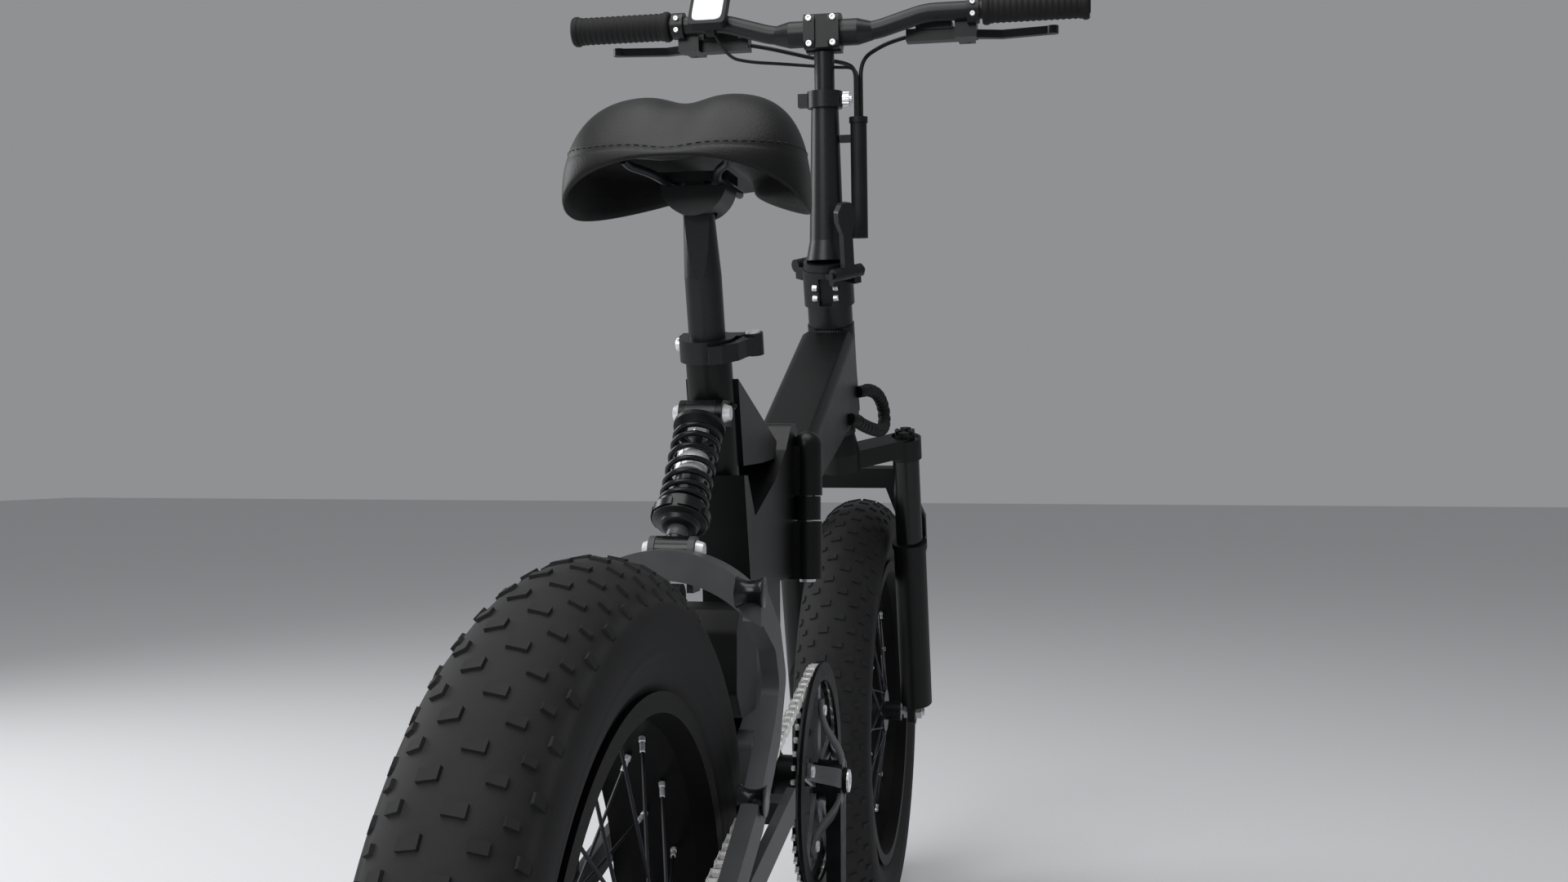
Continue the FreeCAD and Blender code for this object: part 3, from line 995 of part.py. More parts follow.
def helix_wire(radius, pitch, turns):
    """A helix about Z from biarcs, two arcs to each quarter turn."""

    def point(angle):
        return V(radius * math.cos(angle), radius * math.sin(angle), pitch * angle / (2 * math.pi))

    def heading(angle):
        way = V(-radius * math.sin(angle), radius * math.cos(angle), pitch / (2 * math.pi))
        return way.normalize()

    def arc(start, way, end):
        chord = end - start
        side = way - chord * (way.dot(chord) / chord.dot(chord))
        bend = way.getAngle(chord)
        side.normalize()
        return Part.Arc(start, (start + end) / 2 + side * (chord.Length / 2 * math.tan(bend / 2)), end)

    edges = []
    steps = round(turns * 4)
    for step in range(steps):
        a, b = (2 * math.pi * turns * s / steps for s in (step, step + 1))
        p, q, s, e = point(a), point(b), heading(a), heading(b)
        chord, both, turn = q - p, s + e, 2 * (1 - s.dot(e))
        reach = (-chord.dot(both) + math.sqrt(chord.dot(both) ** 2 + turn * chord.dot(chord))) / turn
        middle = (p + s * reach + q - e * reach) / 2
        way = (q - e * reach) - (p + s * reach)
        edges += [arc(p, s, middle).toShape(), arc(middle, way.normalize(), q).toShape()]
    return Part.Wire(edges)


def shock_group():
    """Coil-over shock: damper body below, rod with the upper eye above, the coil between collar and seat."""
    lower = body("shock_body", shock)
    rod(lower, (0, "-eye_half", 0), TO_Y, "eye_radius", "eye_half * 2")
    rod(lower, (0, 0, "4"), LEVEL, "8", "collar_low - 2")
    rod(lower, (0, 0, "collar_low"), LEVEL, "spring_radius + spring_wire + 3", "collar_tall - 5")
    rod(lower, (0, 0, "collar_low"), LEVEL, "spring_radius + spring_wire", "collar_tall")
    for angle in range(0, 360, 60):
        turn = Turn(UP, angle)
        corner = turn.multVec(V(size("spring_radius + spring_wire + 0.7"), -2.5, 0))
        solid(lower, "SubtractiveBox", (corner.x, corner.y, "collar_low - 1"), turn, Length="8", Width="5",
              Height="collar_tall - 1")
    rod(lower, (0, 0, "collar_low"), LEVEL, "shock_body_radius", "seal_low - collar_low")
    for low in ("seal_low", "seal_top - 8"):
        rod(lower, (0, 0, low), LEVEL, "shock_body_radius + ring_lip", "8")
    rod(lower, (0, 0, "seal_low"), LEVEL, "shock_body_radius - 2", "seal_top - seal_low")
    rod(lower, (0, 0, "collar_low + 8"), LEVEL, "rod_radius + running_fit", "80", "Subtractive")
    rod(lower, (0, "-40", 0), TO_Y, "shock_bolt + eye_play", "80", "Subtractive")

    upper = body("shock_rod", shock)
    rod(upper, (0, "-eye_half", EYES), TO_Y, "eye_radius", "eye_half * 2")
    rod(upper, (0, 0, "spring_seat"), LEVEL, "spring_radius + spring_wire + 1", "seat_plate")
    rod(upper, (0, 0, "spring_seat"), LEVEL, "9", f"{EYES} - spring_seat - 6")
    rod(upper, (0, 0, "seal_low"), LEVEL, "rod_radius", "spring_seat - seal_low + 6")
    rod(upper, (0, 0, "spring_seat - 7"), LEVEL, "rod_radius + 3.5", "7")
    rod(upper, (0, "-40", EYES), TO_Y, "shock_bolt + running_fit", "80", "Subtractive")

    wire = size("spring_wire")
    low = size("collar_low + collar_tall") + wire + 0.3
    high = size("spring_seat") - wire - 0.3
    turns = size("spring_turns")
    pitch = (high - low) / turns
    path = helix_wire(size("spring_radius"), pitch, turns)
    first = path.Edges[0]
    ring = Part.Wire(Part.makeCircle(wire, V(size("spring_radius"), 0, 0),
                                     first.tangentAt(first.FirstParameter)))
    coil = path.makePipeShell([ring], True, False)
    coil.translate(V(0, 0, low))
    samples = [p for edge in path.Edges for p in edge.discretize(5)[:-1]]
    turn = round(len(samples) / turns)
    least = min((a - b).Length for i, a in enumerate(samples) for b in samples[i + turn // 2:]) - 2 * wire
    print("spring least gap to itself", round(least, 2))
    made("shock_spring", coil, shock)


def stand_axis():
    """The side stand's hinge axis, tilted so that the leg folds in beside the wheel."""
    tilt = math.radians(size("stand_tilt"))
    return V(0, math.cos(tilt), math.sin(tilt))


def turned_boss(owner, x, y, z, gap, kind):
    """A waisted boss along Y, as two cones back to back, or the seat cut for it in what it is welded to."""
    for start, wide, thin in ((f"{y} - boss_half", "boss_radius", "boss_waist"),
                              (y, "boss_waist", "boss_radius")):
        solid(owner, f"{kind}Cone", (x, start, z), TO_Y, Radius1=f"{wide} + {gap}",
              Radius2=f"{thin} + {gap}",
              Height="boss_half")


def swingarm(pins):
    """Hooped swingarm: arch over the tyre, curved stays, chain stays, pivot ears, dropouts, rack bosses."""
    arm = body("swingarm")
    outer, inner = "stay_outer", "stay_inner"
    shoulder, under = "38", "arch_wall_z + 25"
    corners = [
        (outer, "arch_crest - 56"), (outer, f"arch_crest - {shoulder}"),
        (f"-{outer}", f"arch_crest - {shoulder}"),
        (f"-{outer}", "arch_crest - 56"), (f"-{inner}", f"arch_crest - ({under})"),
        (inner, f"arch_crest - ({under})"),
    ]
    centres = {
        1: ("y", f"arch_crest - ({outer} ^ 2 + {shoulder} ^ 2) / (2 * {shoulder})"),
        4: ("y", f"arch_crest - arch_wall_z - ({inner} ^ 2 + 25 ^ 2) / 50"),
    }
    pad(arm, outline(arm, "YZ_Plane", corners, lift="arch_x", arcs=centres), "arch_depth")
    axle_x, axle_z = "rear_axle_x", "tyre_radius"
    stay = [
        ("arch_x - 12", "arch_crest - 52"), ("arch_x - 6", "arch_crest - 34"),
        ("arch_x + 12", "arch_crest - 32"),
        ("-349", "523"), ("-325", "479"), ("-350", "431"), ("-414", "377"),
        (f"{axle_x} + 4", f"{axle_z} - 10"),
        (f"{axle_x} - 4", f"{axle_z} + 12"), ("-426", "401"), ("-371", "449"), ("-352", "477"),
        ("-368", "506"),
    ]
    wall = "stay_outer - stay_inner"
    mid = "(stay_outer + stay_inner) / 2"
    for lift in (mid, f"-({mid})"):
        pad(arm, outline(arm, "XZ_Plane", stay, lift=lift), wall)
    soften(arm, "16", lambda middle, heading, edge: abs(heading.y) > 0.9 and -420 < middle.x < -320
           and 370 < middle.z < 530)
    for start in ("-stay_outer", "stay_inner"):
        rod(arm, (axle_x, start, axle_z), TO_Y, "24", wall)
    chain = [
        ("pivot_x + 8", "pivot_z - 34"), (axle_x, f"{axle_z} + 14"), (axle_x, f"{axle_z} - 12"),
        ("pivot_x + 8", "pivot_z - 60"),
    ]
    inset = "chainstay_inner + chainstay_wall / 2"
    for lift in (inset, f"-({inset})"):
        pad(arm, outline(arm, "XZ_Plane", chain, lift=lift), "chainstay_wall")
    ear_low, ear_high = "arm_half + seat_gap", "arm_half + 14"
    ear = [
        ("pivot_x + 15", "pivot_z"), ("pivot_x + 8", "pivot_z - 58"), ("pivot_x - 26", "pivot_z - 58"),
        ("pivot_x - 15", "pivot_z"),
    ]
    ear_mid = f"(({ear_low}) + ({ear_high})) / 2"
    for lift in (ear_mid, f"-({ear_mid})"):
        pad(arm, outline(arm, "XZ_Plane", ear, lift=lift), f"({ear_high}) - ({ear_low})")
    reach = "chainstay_inner + chainstay_wall"
    for near, far in (("-(" + reach + ")", f"-({ear_low})"), (ear_low, reach)):
        block(arm, ("pivot_x - 26", near, "pivot_z - 58"), ("pivot_x + 8", far, "pivot_z - 40"))
    for start in (ear_low, f"-({ear_high})"):
        rod(arm, ("pivot_x", start, "pivot_z"), TO_Y, "15", f"({ear_high}) - ({ear_low})")
    for start in ("eye_half + seat_gap", "-eye_half - seat_gap - ear_wall"):
        block(arm, ("shock_low_x - 12", start, "arch_crest - 34"),
              ("shock_low_x + 10", f"{start} + ear_wall", "shock_low_z"))
        rod(arm, ("shock_low_x - 1", start, "shock_low_z"), TO_Y, "11", "ear_wall")
    bosses = body("rack_bosses")
    places = (("arch_x - arch_depth / 2 - 4", "arch_crest - 30"), ("boss_low_x", "boss_low_z"))
    for x, z in places:
        for lift in (mid, f"-({mid})"):
            turned_boss(bosses, x, lift, z, "0", "Additive")
            turned_boss(arm, x, lift, z, "running_fit", "Subtractive")
    for x, z in places:
        rod(bosses, (x, "-stay_outer * 2", z), TO_Y, "boss_hole", "stay_outer * 4", "Subtractive")
    block(arm, ("stand_x - 14", "stay_inner + 2", "stand_z - 12"),
          ("stand_x + 14", "stand_side - 13", "stand_z + 34"))
    rod(arm, ("stand_x", "stand_side - 18 * cos(stand_tilt)", "stand_z - 18 * sin(stand_tilt)"),
        Turn(UP, stand_axis()), "stand_pin", "27")
    rod(arm, (axle_x, "-stay_outer - 10", axle_z), TO_Y, "rear_axle_radius + running_fit",
        "stay_outer * 2 + 20", "Subtractive")
    recess = "stay_inner + 6"
    for start in (f"-({recess})", "stay_inner - 5"):
        rod(arm, (axle_x, start, axle_z), TO_Y, "nut_radius + 2", "11", "Subtractive")
    rod(arm, ("pivot_x", "-60", "pivot_z"), TO_Y, "pivot_bolt + running_fit", "120", "Subtractive")
    rod(arm, ("shock_low_x", "-60", "shock_low_z"), TO_Y, "shock_bolt + running_fit", "120", "Subtractive")
    rod(arm, ("shock_low_x", "-eye_half - seat_gap", "shock_low_z"), TO_Y, "eye_radius + 1.5",
        "(eye_half + seat_gap) * 2", "Subtractive")
    shock_bolt(pins, "shock_low_x - rear_axle_x", "shock_low_z - tyre_radius")


def tooth_ring(teeth, bore):
    """A sprocket blank: trapezoid teeth that fit between the rollers, with a round bore, its axis along Y."""
    pitch_radius = size("chain_pitch") / (2 * math.sin(math.pi / teeth))
    step = 2 * math.pi / teeth
    root, tip = pitch_radius - size("roller_radius") - 0.9, pitch_radius + 2.2
    gap = (size("roller_radius") + 0.95) / pitch_radius
    corners = []
    for tooth in range(teeth):
        middle = step * (tooth + 0.5)
        for radius, angle in ((root, gap * 0.62 - step / 2), (pitch_radius, gap - step / 2),
                              (tip, -step * 0.1), (tip, step * 0.1),
                              (pitch_radius, step / 2 - gap), (root, step / 2 - gap * 0.62)):
            corners.append(V(radius * math.cos(middle + angle), 0, radius * math.sin(middle + angle)))
    face = Part.Face(Part.makePolygon(corners + corners[:1]))
    hole = Part.Face(Part.Wire(Part.makeCircle(bore, V(), SIDE)))
    wall = size("tooth_wall")
    ring = face.cut(hole).extrude(V(0, wall, 0))
    ring.translate(V(0, -wall / 2, 0))
    return ring


def drive():
    """Chainring, guard, cranks, pedals, freewheel and the chain, meshed at rest."""
    line = size("chain_side")
    inner = size("guard_radius - guard_band")
    ring = tooth_ring(round(size("ring_teeth")), inner - 6)
    ring.translate(V(0, line, 0))
    spider_near = "-chain_side + tooth_wall / 2 + face_gap"
    guard_near = -size(f"{spider_near} + spider_wall + face_gap + guard_wall")
    guard = Part.makeCylinder(size("guard_radius"), size("guard_wall"), V(0, guard_near, 0), SIDE)
    guard = guard.cut(Part.makeCylinder(inner, 60, V(0, guard_near - 20, 0), SIDE))
    made("chainring", Part.makeCompound([ring, guard]), crank)

    arms = body("crank_arms", crank)
    outside = "crank_inner + crank_wall"
    middle = "crank_inner + crank_wall / 2"
    for sign in (-1, 1):
        start = "crank_inner" if sign > 0 else f"-({outside})"
        deep = "crank_wall" if sign > 0 else f"{outside} - ({spider_near})"
        rod(arms, (0, start, 0), TO_Y, "19", deep)
        tip = f"{sign} * crank_length"
        corners = [("-17", f"{-4 * sign}"), ("17", f"{-4 * sign}"), ("13", tip), ("-13", tip)]
        pad(arms, outline(arms, "XZ_Plane", corners, lift=f"{-sign} * ({middle})"), "crank_wall")
        rod(arms, (0, start, tip), TO_Y, "14", "crank_wall")
    reach = "guard_radius - guard_band + 4"
    spider = [("-9", "10"), ("-6", reach), ("6", reach), ("9", "10")]
    leg = pad(arms, outline(arms, "XZ_Plane", spider, lift=f"{spider_near} + spider_wall / 2"),
              "spider_wall")
    around(arms, [leg], "Y_Axis", 5)
    rod(arms, (0, "-120", 0), TO_Y, "spindle_radius + running_fit", "240", "Subtractive")
    for sign in (-1, 1):
        rod(arms, (0, "-120" if sign < 0 else "20", f"{sign} * crank_length"), TO_Y, "5 + running_fit",
            "100",
            "Subtractive")
    rod(arms, (0, f"-({outside}) - 2", 0), TO_Y, "spindle_radius", f"({outside}) * 2 + 4")
    for start in (f"-({outside}) - face_gap - 4", f"{outside} + face_gap"):
        rod(arms, (0, start, 0), TO_Y, "12", "4")

    for sign, name in ((-1, "right"), (1, "left")):
        pedal = body(f"pedal_{name}", Frame(spot(("bb_x", 0, f"bb_z + {sign} * crank_length")), LEVEL))
        near = "crank_inner + crank_wall + pedal_gap"
        low, high = (near, f"{near} + pedal_width") if sign > 0 else (f"-({near}) - pedal_width",
                                                                      f"-({near})")
        block(pedal, ("-pedal_length / 2", low, "-pedal_height / 2"),
              ("pedal_length / 2", high, "pedal_height / 2"))
        soften(pedal, "12", lambda middle, heading, edge: abs(heading.z) > 0.9)
        for x in ("-pedal_length / 2 + 9", "12"):
            for part in (0, 1):
                inner = f"({low}) + 9 + {part} * (pedal_width - 12) / 2"
                far = (f"{x} + pedal_length / 2 - 21", f"{inner} + (pedal_width - 24) / 2", "30")
                block(pedal, (x, inner, "-30"), far, "Subtractive")
        start, run = ("crank_inner + 1", "crank_wall + pedal_gap + 20") if sign > 0 else (
            "-(crank_inner + crank_wall + pedal_gap + 19)", "crank_wall + pedal_gap + 18")
        rod(pedal, (0, start, 0), TO_Y, "5", run)
        sleeve = "crank_inner + crank_wall + face_gap"
        if sign < 0:
            sleeve = "-(crank_inner + crank_wall + pedal_gap + 2)"
        rod(pedal, (0, sleeve, 0), TO_Y, "8", "pedal_gap + 2 - face_gap")

    cog = tooth_ring(round(size("cog_teeth")), 24)
    cog.translate(V(0, line, 0))
    boss = Part.makeCylinder(24.5, 10.5, V(0, line - 4, 0), SIDE)
    hole = Part.makeCylinder(size("motor_boss - 3 + running_fit"), 60, V(0, line - 30, 0), SIDE)
    made("freewheel", cog.fuse(boss).cut(hole), rear_axle)

    made("chain", chain_links())


def chain_links():
    """Inner and outer links in turn on the loop round both sprockets, each with two plates and a roller."""
    big, small = round(size("ring_teeth")), round(size("cog_teeth"))
    pitch = size("chain_pitch")
    radius = [pitch / (2 * math.sin(math.pi / n)) for n in (big, small)]
    front = spot(("bb_x", "chain_side", "bb_z"))
    rear = spot(("rear_axle_x", "chain_side", "tyre_radius"))
    gap = rear - front
    heading = math.atan2(gap.z, gap.x)
    lean = math.acos((radius[0] - radius[1]) / gap.Length)

    def seat_at(centre, count, reach, slot):
        angle = 2 * math.pi * slot / count
        return centre + V(math.cos(angle), 0, math.sin(angle)) * reach

    def slots(count, first, last):
        step = 2 * math.pi / count
        return [slot for slot in range(-2 * count, 2 * count) if first <= slot * step <= last]

    # the chain leaves the front ring at heading -/+ lean and lies on the side away from the rear cog
    front_slots = slots(big, heading + lean - 2 * math.pi, heading - lean)
    rear_slots = slots(small, heading - lean, heading + lean)
    pins = [seat_at(front, big, radius[0], slot) for slot in front_slots]

    def run(start, end):
        steps = max(1, round((end - start).Length / pitch))
        return [start + (end - start) * (step / steps) for step in range(1, steps)]

    rear_pins = [seat_at(rear, small, radius[1], slot) for slot in rear_slots]
    upper = run(pins[-1], rear_pins[0])
    lower = run(rear_pins[-1], pins[0])
    if (len(pins) + len(rear_pins) + len(upper) + len(lower)) % 2:
        steps = len(lower) + 2
        start, end = rear_pins[-1], pins[0]
        lower = [start + (end - start) * (step / steps) for step in range(1, steps)]
    loop = pins + upper + rear_pins + lower
    spread = [(b - a).Length for a, b in zip(loop, loop[1:] + loop[:1])]
    print("chain links", len(loop), "pitch from", round(min(spread), 2), "to", round(max(spread), 2))

    half, wall, inside = size("link_half"), size("link_wall"), size("roller_half")
    pieces = []
    for number, (start, end) in enumerate(zip(loop, loop[1:] + loop[:1])):
        along = end - start
        along.normalize()
        up = along.cross(SIDE)
        depth = inside + 0.05 + (wall + 0.1) * (number % 2)
        corners = [
            start - along * (half - 0.5), start + up * half, end + up * half,
            end + along * (half - 0.5), end - up * half, start - up * half,
        ]
        plate = Part.Face(Part.makePolygon(corners + corners[:1])).extrude(SIDE * wall)
        for shift in (depth, -depth - wall):
            pieces.append(plate.translated(SIDE * shift))
        spoke = along * size("roller_radius")
        turned = [start + Turn(SIDE, 60 * corner).multVec(spoke) - SIDE * inside for corner in range(7)]
        pieces.append(Part.Face(Part.makePolygon(turned)).extrude(SIDE * inside * 2))
    return Part.makeCompound(pieces)


def kickstand():
    """Leg of the side stand, splayed out to the left down to its rubber-shod foot on the ground."""
    top = spot(("stand_x", "stand_side", "stand_z"))
    foot = V(top.x - 34, top.y + 104, 4)
    way = foot - top
    radius = size("stand_radius")
    leg = Part.makeCylinder(radius, way.Length - 6, top, way)
    turn = stand_axis()
    hub = Part.makeCylinder(14, 18, top - turn * 9, turn)
    shoe = Part.makeCylinder(16, 8, V(foot.x, foot.y, 0), UP)
    bore = Part.makeCylinder(size("stand_pin + running_fit"), 40, top - turn * 20, turn)
    made("kickstand", leg.fuse([hub, shoe]).cut(bore).removeSplitter())


for label, axle in (("front_tyre", front_axle), ("rear_tyre", rear_axle)):
    tyre(label, axle)
for label, axle in (("front_rim", front_axle), ("rear_rim", rear_axle)):
    rim(label, axle)
spokes("front_spokes", front_axle, "flange_radius", "flange_half", 42)
spokes("rear_spokes", rear_axle, "motor_flange", "motor_half", 14)
brake_disc("front_brake_disc", front_axle, "front_disc_side", "hub_end + running_fit")
brake_disc("rear_brake_disc", rear_axle, "rear_disc_side", "motor_boss + running_fit")
front_hub()
hub_motor()
axle_rod("front_axle", front_axle, "front_axle_radius", "dropout_half", "dropout_half + dropout_wall + 12",
         "dropout_wall")
swingarm_pins = axle_rod("swingarm_pins", rear_axle, "rear_axle_radius", "stay_inner + 6",
                         "stay_outer + 12",
                         "stay_outer - stay_inner - 6")
fork()
headset()
stem()
handlebar()
front_half()
rear_half()
seat_group()
shock_group()
swingarm(swingarm_pins)
leg_back = f"{AHEAD} - slider_radius - seat_gap"
caliper("front_brake_caliper", head, (f"{AHEAD} - 60", f"{BELOW} + 66"), ("10", "15"),
        ((f"{AHEAD} - 66", "front_disc_side + 6", f"{BELOW} + 44"),
         (leg_back, "leg_half + 6", f"{BELOW} + 88")),
        "front_disc_side", (AHEAD, BELOW))
caliper("rear_brake_caliper", rear_axle, ("84", "30"), ("13", "8"),
        (("72", "rear_disc_side + 4", "18"), ("96", "chainstay_inner - seat_gap", "42")), "rear_disc_side",
        ("0", "0"))
drive()
kickstand()

doc.recompute()
os.makedirs("parts", exist_ok=True)
failed = [item.Name for item in doc.Objects if {"Invalid", "Error"} & set(item.State)]
failed += [node.Label for node in nodes if node.Shape.isNull() or not node.Shape.isValid()]
if failed:
    raise RuntimeError(f"these did not build: {failed}")
for node in nodes:
    node.Shape.exportStep(f"parts/{node.Label}.step")
print(len(nodes), "sub-parts")
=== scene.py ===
import math

import bpy
import numpy as np
from mathutils import Matrix, Vector


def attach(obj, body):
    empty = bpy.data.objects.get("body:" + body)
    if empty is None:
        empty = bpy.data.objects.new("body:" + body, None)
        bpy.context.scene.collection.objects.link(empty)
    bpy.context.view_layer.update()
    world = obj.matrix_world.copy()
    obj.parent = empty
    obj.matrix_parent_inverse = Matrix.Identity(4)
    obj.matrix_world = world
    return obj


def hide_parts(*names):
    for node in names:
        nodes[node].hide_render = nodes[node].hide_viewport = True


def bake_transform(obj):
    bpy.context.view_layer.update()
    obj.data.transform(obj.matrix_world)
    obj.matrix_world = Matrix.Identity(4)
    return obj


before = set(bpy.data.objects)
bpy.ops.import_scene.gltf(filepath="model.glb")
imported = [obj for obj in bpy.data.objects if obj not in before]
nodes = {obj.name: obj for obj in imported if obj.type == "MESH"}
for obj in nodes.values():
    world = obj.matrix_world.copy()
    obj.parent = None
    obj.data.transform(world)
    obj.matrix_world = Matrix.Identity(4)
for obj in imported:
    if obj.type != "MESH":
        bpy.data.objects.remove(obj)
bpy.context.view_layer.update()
scene = bpy.context.scene
scene.view_settings.view_transform = "Standard"

# Studio
# A pale seamless floor, a pale surround and three large soft lamps. The camera is low behind the right side
# of the bike: a 35 mm lens on a 36 mm wide sensor.
CAMERA_AT, CAMERA_YAW, CAMERA_PITCH = (-1.529154, -0.314336, 0.660133), 0.197, 0.007
SURROUND_STRENGTH = 0.34
FLOOR_ROWS, FLOOR_REACH, FLOOR_AHEAD = 9, 14, 4
FIBRES_PER_METRE = 220.0
SOFT_BOXES = (
    ("overhead soft box", (-0.7, 0.4, 3.4), (0.0, 0.0, 0.5), 2.6, 70.0),
    ("key soft box", (-3.0, 1.0, 2.3), (0.0, 0.0, 0.6), 1.8, 52.0),
    ("left rim soft box", (0.6, 2.9, 1.7), (0.0, 0.0, 0.55), 1.6, 40.0),
)


def linear(hex_colour):
    """An sRGB hex colour as the linear red, green, blue and alpha that shaders take."""
    parts = np.array([int(hex_colour[i:i + 2], 16) for i in (1, 3, 5)]) / 255
    parts = np.where(parts <= 0.04045, parts / 12.92, ((parts + 0.055) / 1.055) ** 2.4)
    return (*parts.tolist(), 1.0)


def add(material, kind, settings=None, numbered=None, **named):
    """Adds one node: its own settings, then its sockets by number or name, as values or as sockets to link."""
    node = material.node_tree.nodes.new(kind)
    for key, value in (settings or {}).items():
        setattr(node, key, value)
    sockets = {**(numbered or {}), **{key.replace("_", " "): value for key, value in named.items()}}
    for key, value in sockets.items():
        if isinstance(value, bpy.types.NodeSocket):
            material.node_tree.links.new(value, node.inputs[key])
        else:
            node.inputs[key].default_value = value
    return node


def blank(name):
    """A new material with an empty node tree."""
    material = bpy.data.materials.new(name)
    material.use_nodes = True
    material.node_tree.nodes.clear()
    return material


def finished(material, pattern, low, high, stops, **shader):
    """Ends a finish: a pattern moves its colour from low to high between stops; the rest is the shader's."""
    tone = add(material, "ShaderNodeValToRGB", Fac=pattern.outputs["Fac"])
    for stop, place, colour in zip(tone.color_ramp.elements, stops, (low, high)):
        stop.position, stop.color = place, linear(colour)
    surface = add(material, "ShaderNodeBsdfPrincipled", Base_Color=tone.outputs["Color"], **shader)
    add(material, "ShaderNodeOutputMaterial", Surface=surface.outputs["BSDF"])
    return material


def grid_faces(rows, columns, close_rows=False, close_columns=False):
    """Quads of a grid of points, row by row, joined end to end where it closes on itself."""
    i = np.arange(rows if close_rows else rows - 1)[:, None]
    j = np.arange(columns if close_columns else columns - 1)[None, :]
    ni, nj = (i + 1) % rows, (j + 1) % columns
    corners = [i * columns + j, ni * columns + j, ni * columns + nj, i * columns + nj]
    return np.stack(corners, axis=-1).reshape(-1, 4)


def mesh_piece(name, points, faces, material, body=None, smooth=True):
    """Puts points and faces into a mesh, which moves with a body when one is given."""
    mesh = bpy.data.meshes.new(name)
    mesh.from_pydata(points.reshape(-1, 3).tolist(), [], faces)
    mesh.polygons.foreach_set("use_smooth", np.full(len(mesh.polygons), smooth))
    mesh.materials.append(material)
    piece = bpy.data.objects.new(name, mesh)
    scene.collection.objects.link(piece)
    if body:
        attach(piece, body)
    return piece


ahead = Vector((math.cos(CAMERA_YAW) * math.cos(CAMERA_PITCH), math.sin(CAMERA_YAW) * math.cos(CAMERA_PITCH),
                math.sin(CAMERA_PITCH)))
right = Vector((math.sin(CAMERA_YAW), -math.cos(CAMERA_YAW), 0.0))
facing = Matrix((right, right.cross(ahead), -ahead)).transposed().to_4x4()
camera = bpy.data.objects.new("camera", bpy.data.cameras.new("camera"))
camera.data.lens, camera.data.sensor_width = 35.0, 36.0
camera.data.clip_start, camera.data.clip_end = 0.05, 60.0
camera.matrix_world = Matrix.Translation(CAMERA_AT) @ facing
scene.collection.objects.link(camera)
scene.camera = camera

world = bpy.data.worlds.new("studio surround")
world.use_nodes = True
surround = world.node_tree.nodes["Background"].inputs
surround["Color"].default_value = linear("#e9ebee")
surround["Strength"].default_value = SURROUND_STRENGTH
scene.world = world

# Paper: an even pale grey, with fibres too faint to draw the eye.
paper = blank("pale studio paper")
coords = add(paper, "ShaderNodeTexCoord").outputs["Object"]
fibre = add(paper, "ShaderNodeTexNoise", Vector=coords, Scale=FIBRES_PER_METRE, Detail=2.0)
finished(paper, fibre, "#d3d4d6", "#dadbdd", (0.0, 1.0), Roughness=0.85)
span = np.linspace(-FLOOR_REACH, FLOOR_REACH, FLOOR_ROWS)
floor_x, floor_y = np.meshgrid(span + FLOOR_AHEAD, span, indexing="ij")
floor_points = np.stack([floor_x, floor_y, 0 * floor_x], axis=-1)
floor_faces = grid_faces(FLOOR_ROWS, FLOOR_ROWS).tolist()
floor = mesh_piece("studio floor", floor_points, floor_faces, paper, smooth=False)

for name, place, aim, width, power in SOFT_BOXES:
    lamp = bpy.data.objects.new(name, bpy.data.lights.new(name, "AREA"))
    lamp.data.size, lamp.data.energy = width, power
    lamp.location = place
    lamp.rotation_euler = (Vector(aim) - Vector(place)).to_track_quat("-Z", "Y").to_euler()
    scene.collection.objects.link(lamp)

# Frame beams
# Welded aluminium boxes, shot-blasted and powder coated: a satin black with a very fine orange peel.
# The peel is about 0.7 mm across, and shows as a soft break-up of the highlights.
STOPS = (0.3, 0.75)


def dress(material, *names):
    """Gives CAD nodes their finish."""
    for name in names:
        nodes[name].data.materials.clear()
        nodes[name].data.materials.append(material)


def powder_coat(name, low, high, rough, peel_mm=0.7):
    """Powder coat: clouds 45 mm wide move its colour and gloss, and a fine noise is the relief of its peel."""
    material = blank(name)
    coords = add(material, "ShaderNodeTexCoord").outputs["Object"]
    cloud = add(material, "ShaderNodeTexNoise", Vector=coords, Scale=1000 / 45.0, Detail=4.0)
    shine = add(material, "ShaderNodeMapRange", Value=cloud.outputs["Fac"],
                To_Min=rough - 0.05, To_Max=rough + 0.07)
    peel = add(material, "ShaderNodeTexNoise", Vector=coords, Scale=1000 / (2 * peel_mm), Detail=1.0)
    relief = add(material, "ShaderNodeBump", Height=peel.outputs["Fac"], Strength=0.12, Distance=0.0004)
    return finished(material, cloud, low, high, STOPS, Roughness=shine.outputs["Result"],
                    Normal=relief.outputs["Normal"], Specular_IOR_Level=0.24)


# Satin coats: the frame and fork nearly black with soft highlights, the swingarm a plain dark grey.
frame_black = powder_coat("satin black powder coat on aluminium", "#070808", "#0d0e0f", 0.36)
dress(frame_black, "main_beam", "rear_frame")
grey_coat = powder_coat("satin dark grey powder coat on steel", "#434446", "#4e4f51", 0.42)
dress(grey_coat, "swingarm")
cast_coat = powder_coat("satin black paint on cast magnesium", "#070808", "#0d0e0f", 0.42, 1.1)
dress(cast_coat, "fork_crown", "fork_lowers")

# Weld beads
# Hand laid weld seams, painted over with the frame: a bead of overlapping ripples about 3 mm apart.
# A ring carried along a path, its radius swelling and shrinking with the ripples.
CRANK, RIPPLE = (-97.0, 348.0), 3.0


def frame_at(origin, lean):
    """A function from places in a group's own leaning frame to places in the bike's frame, in millimetres."""
    tilt = math.radians(lean)
    axes = np.array([[math.cos(tilt), 0, math.sin(tilt)], [0, 1, 0], [-math.sin(tilt), 0, math.cos(tilt)]])
    return lambda x, y, z: np.stack(np.broadcast_arrays(x, y, z), axis=-1) @ axes + origin


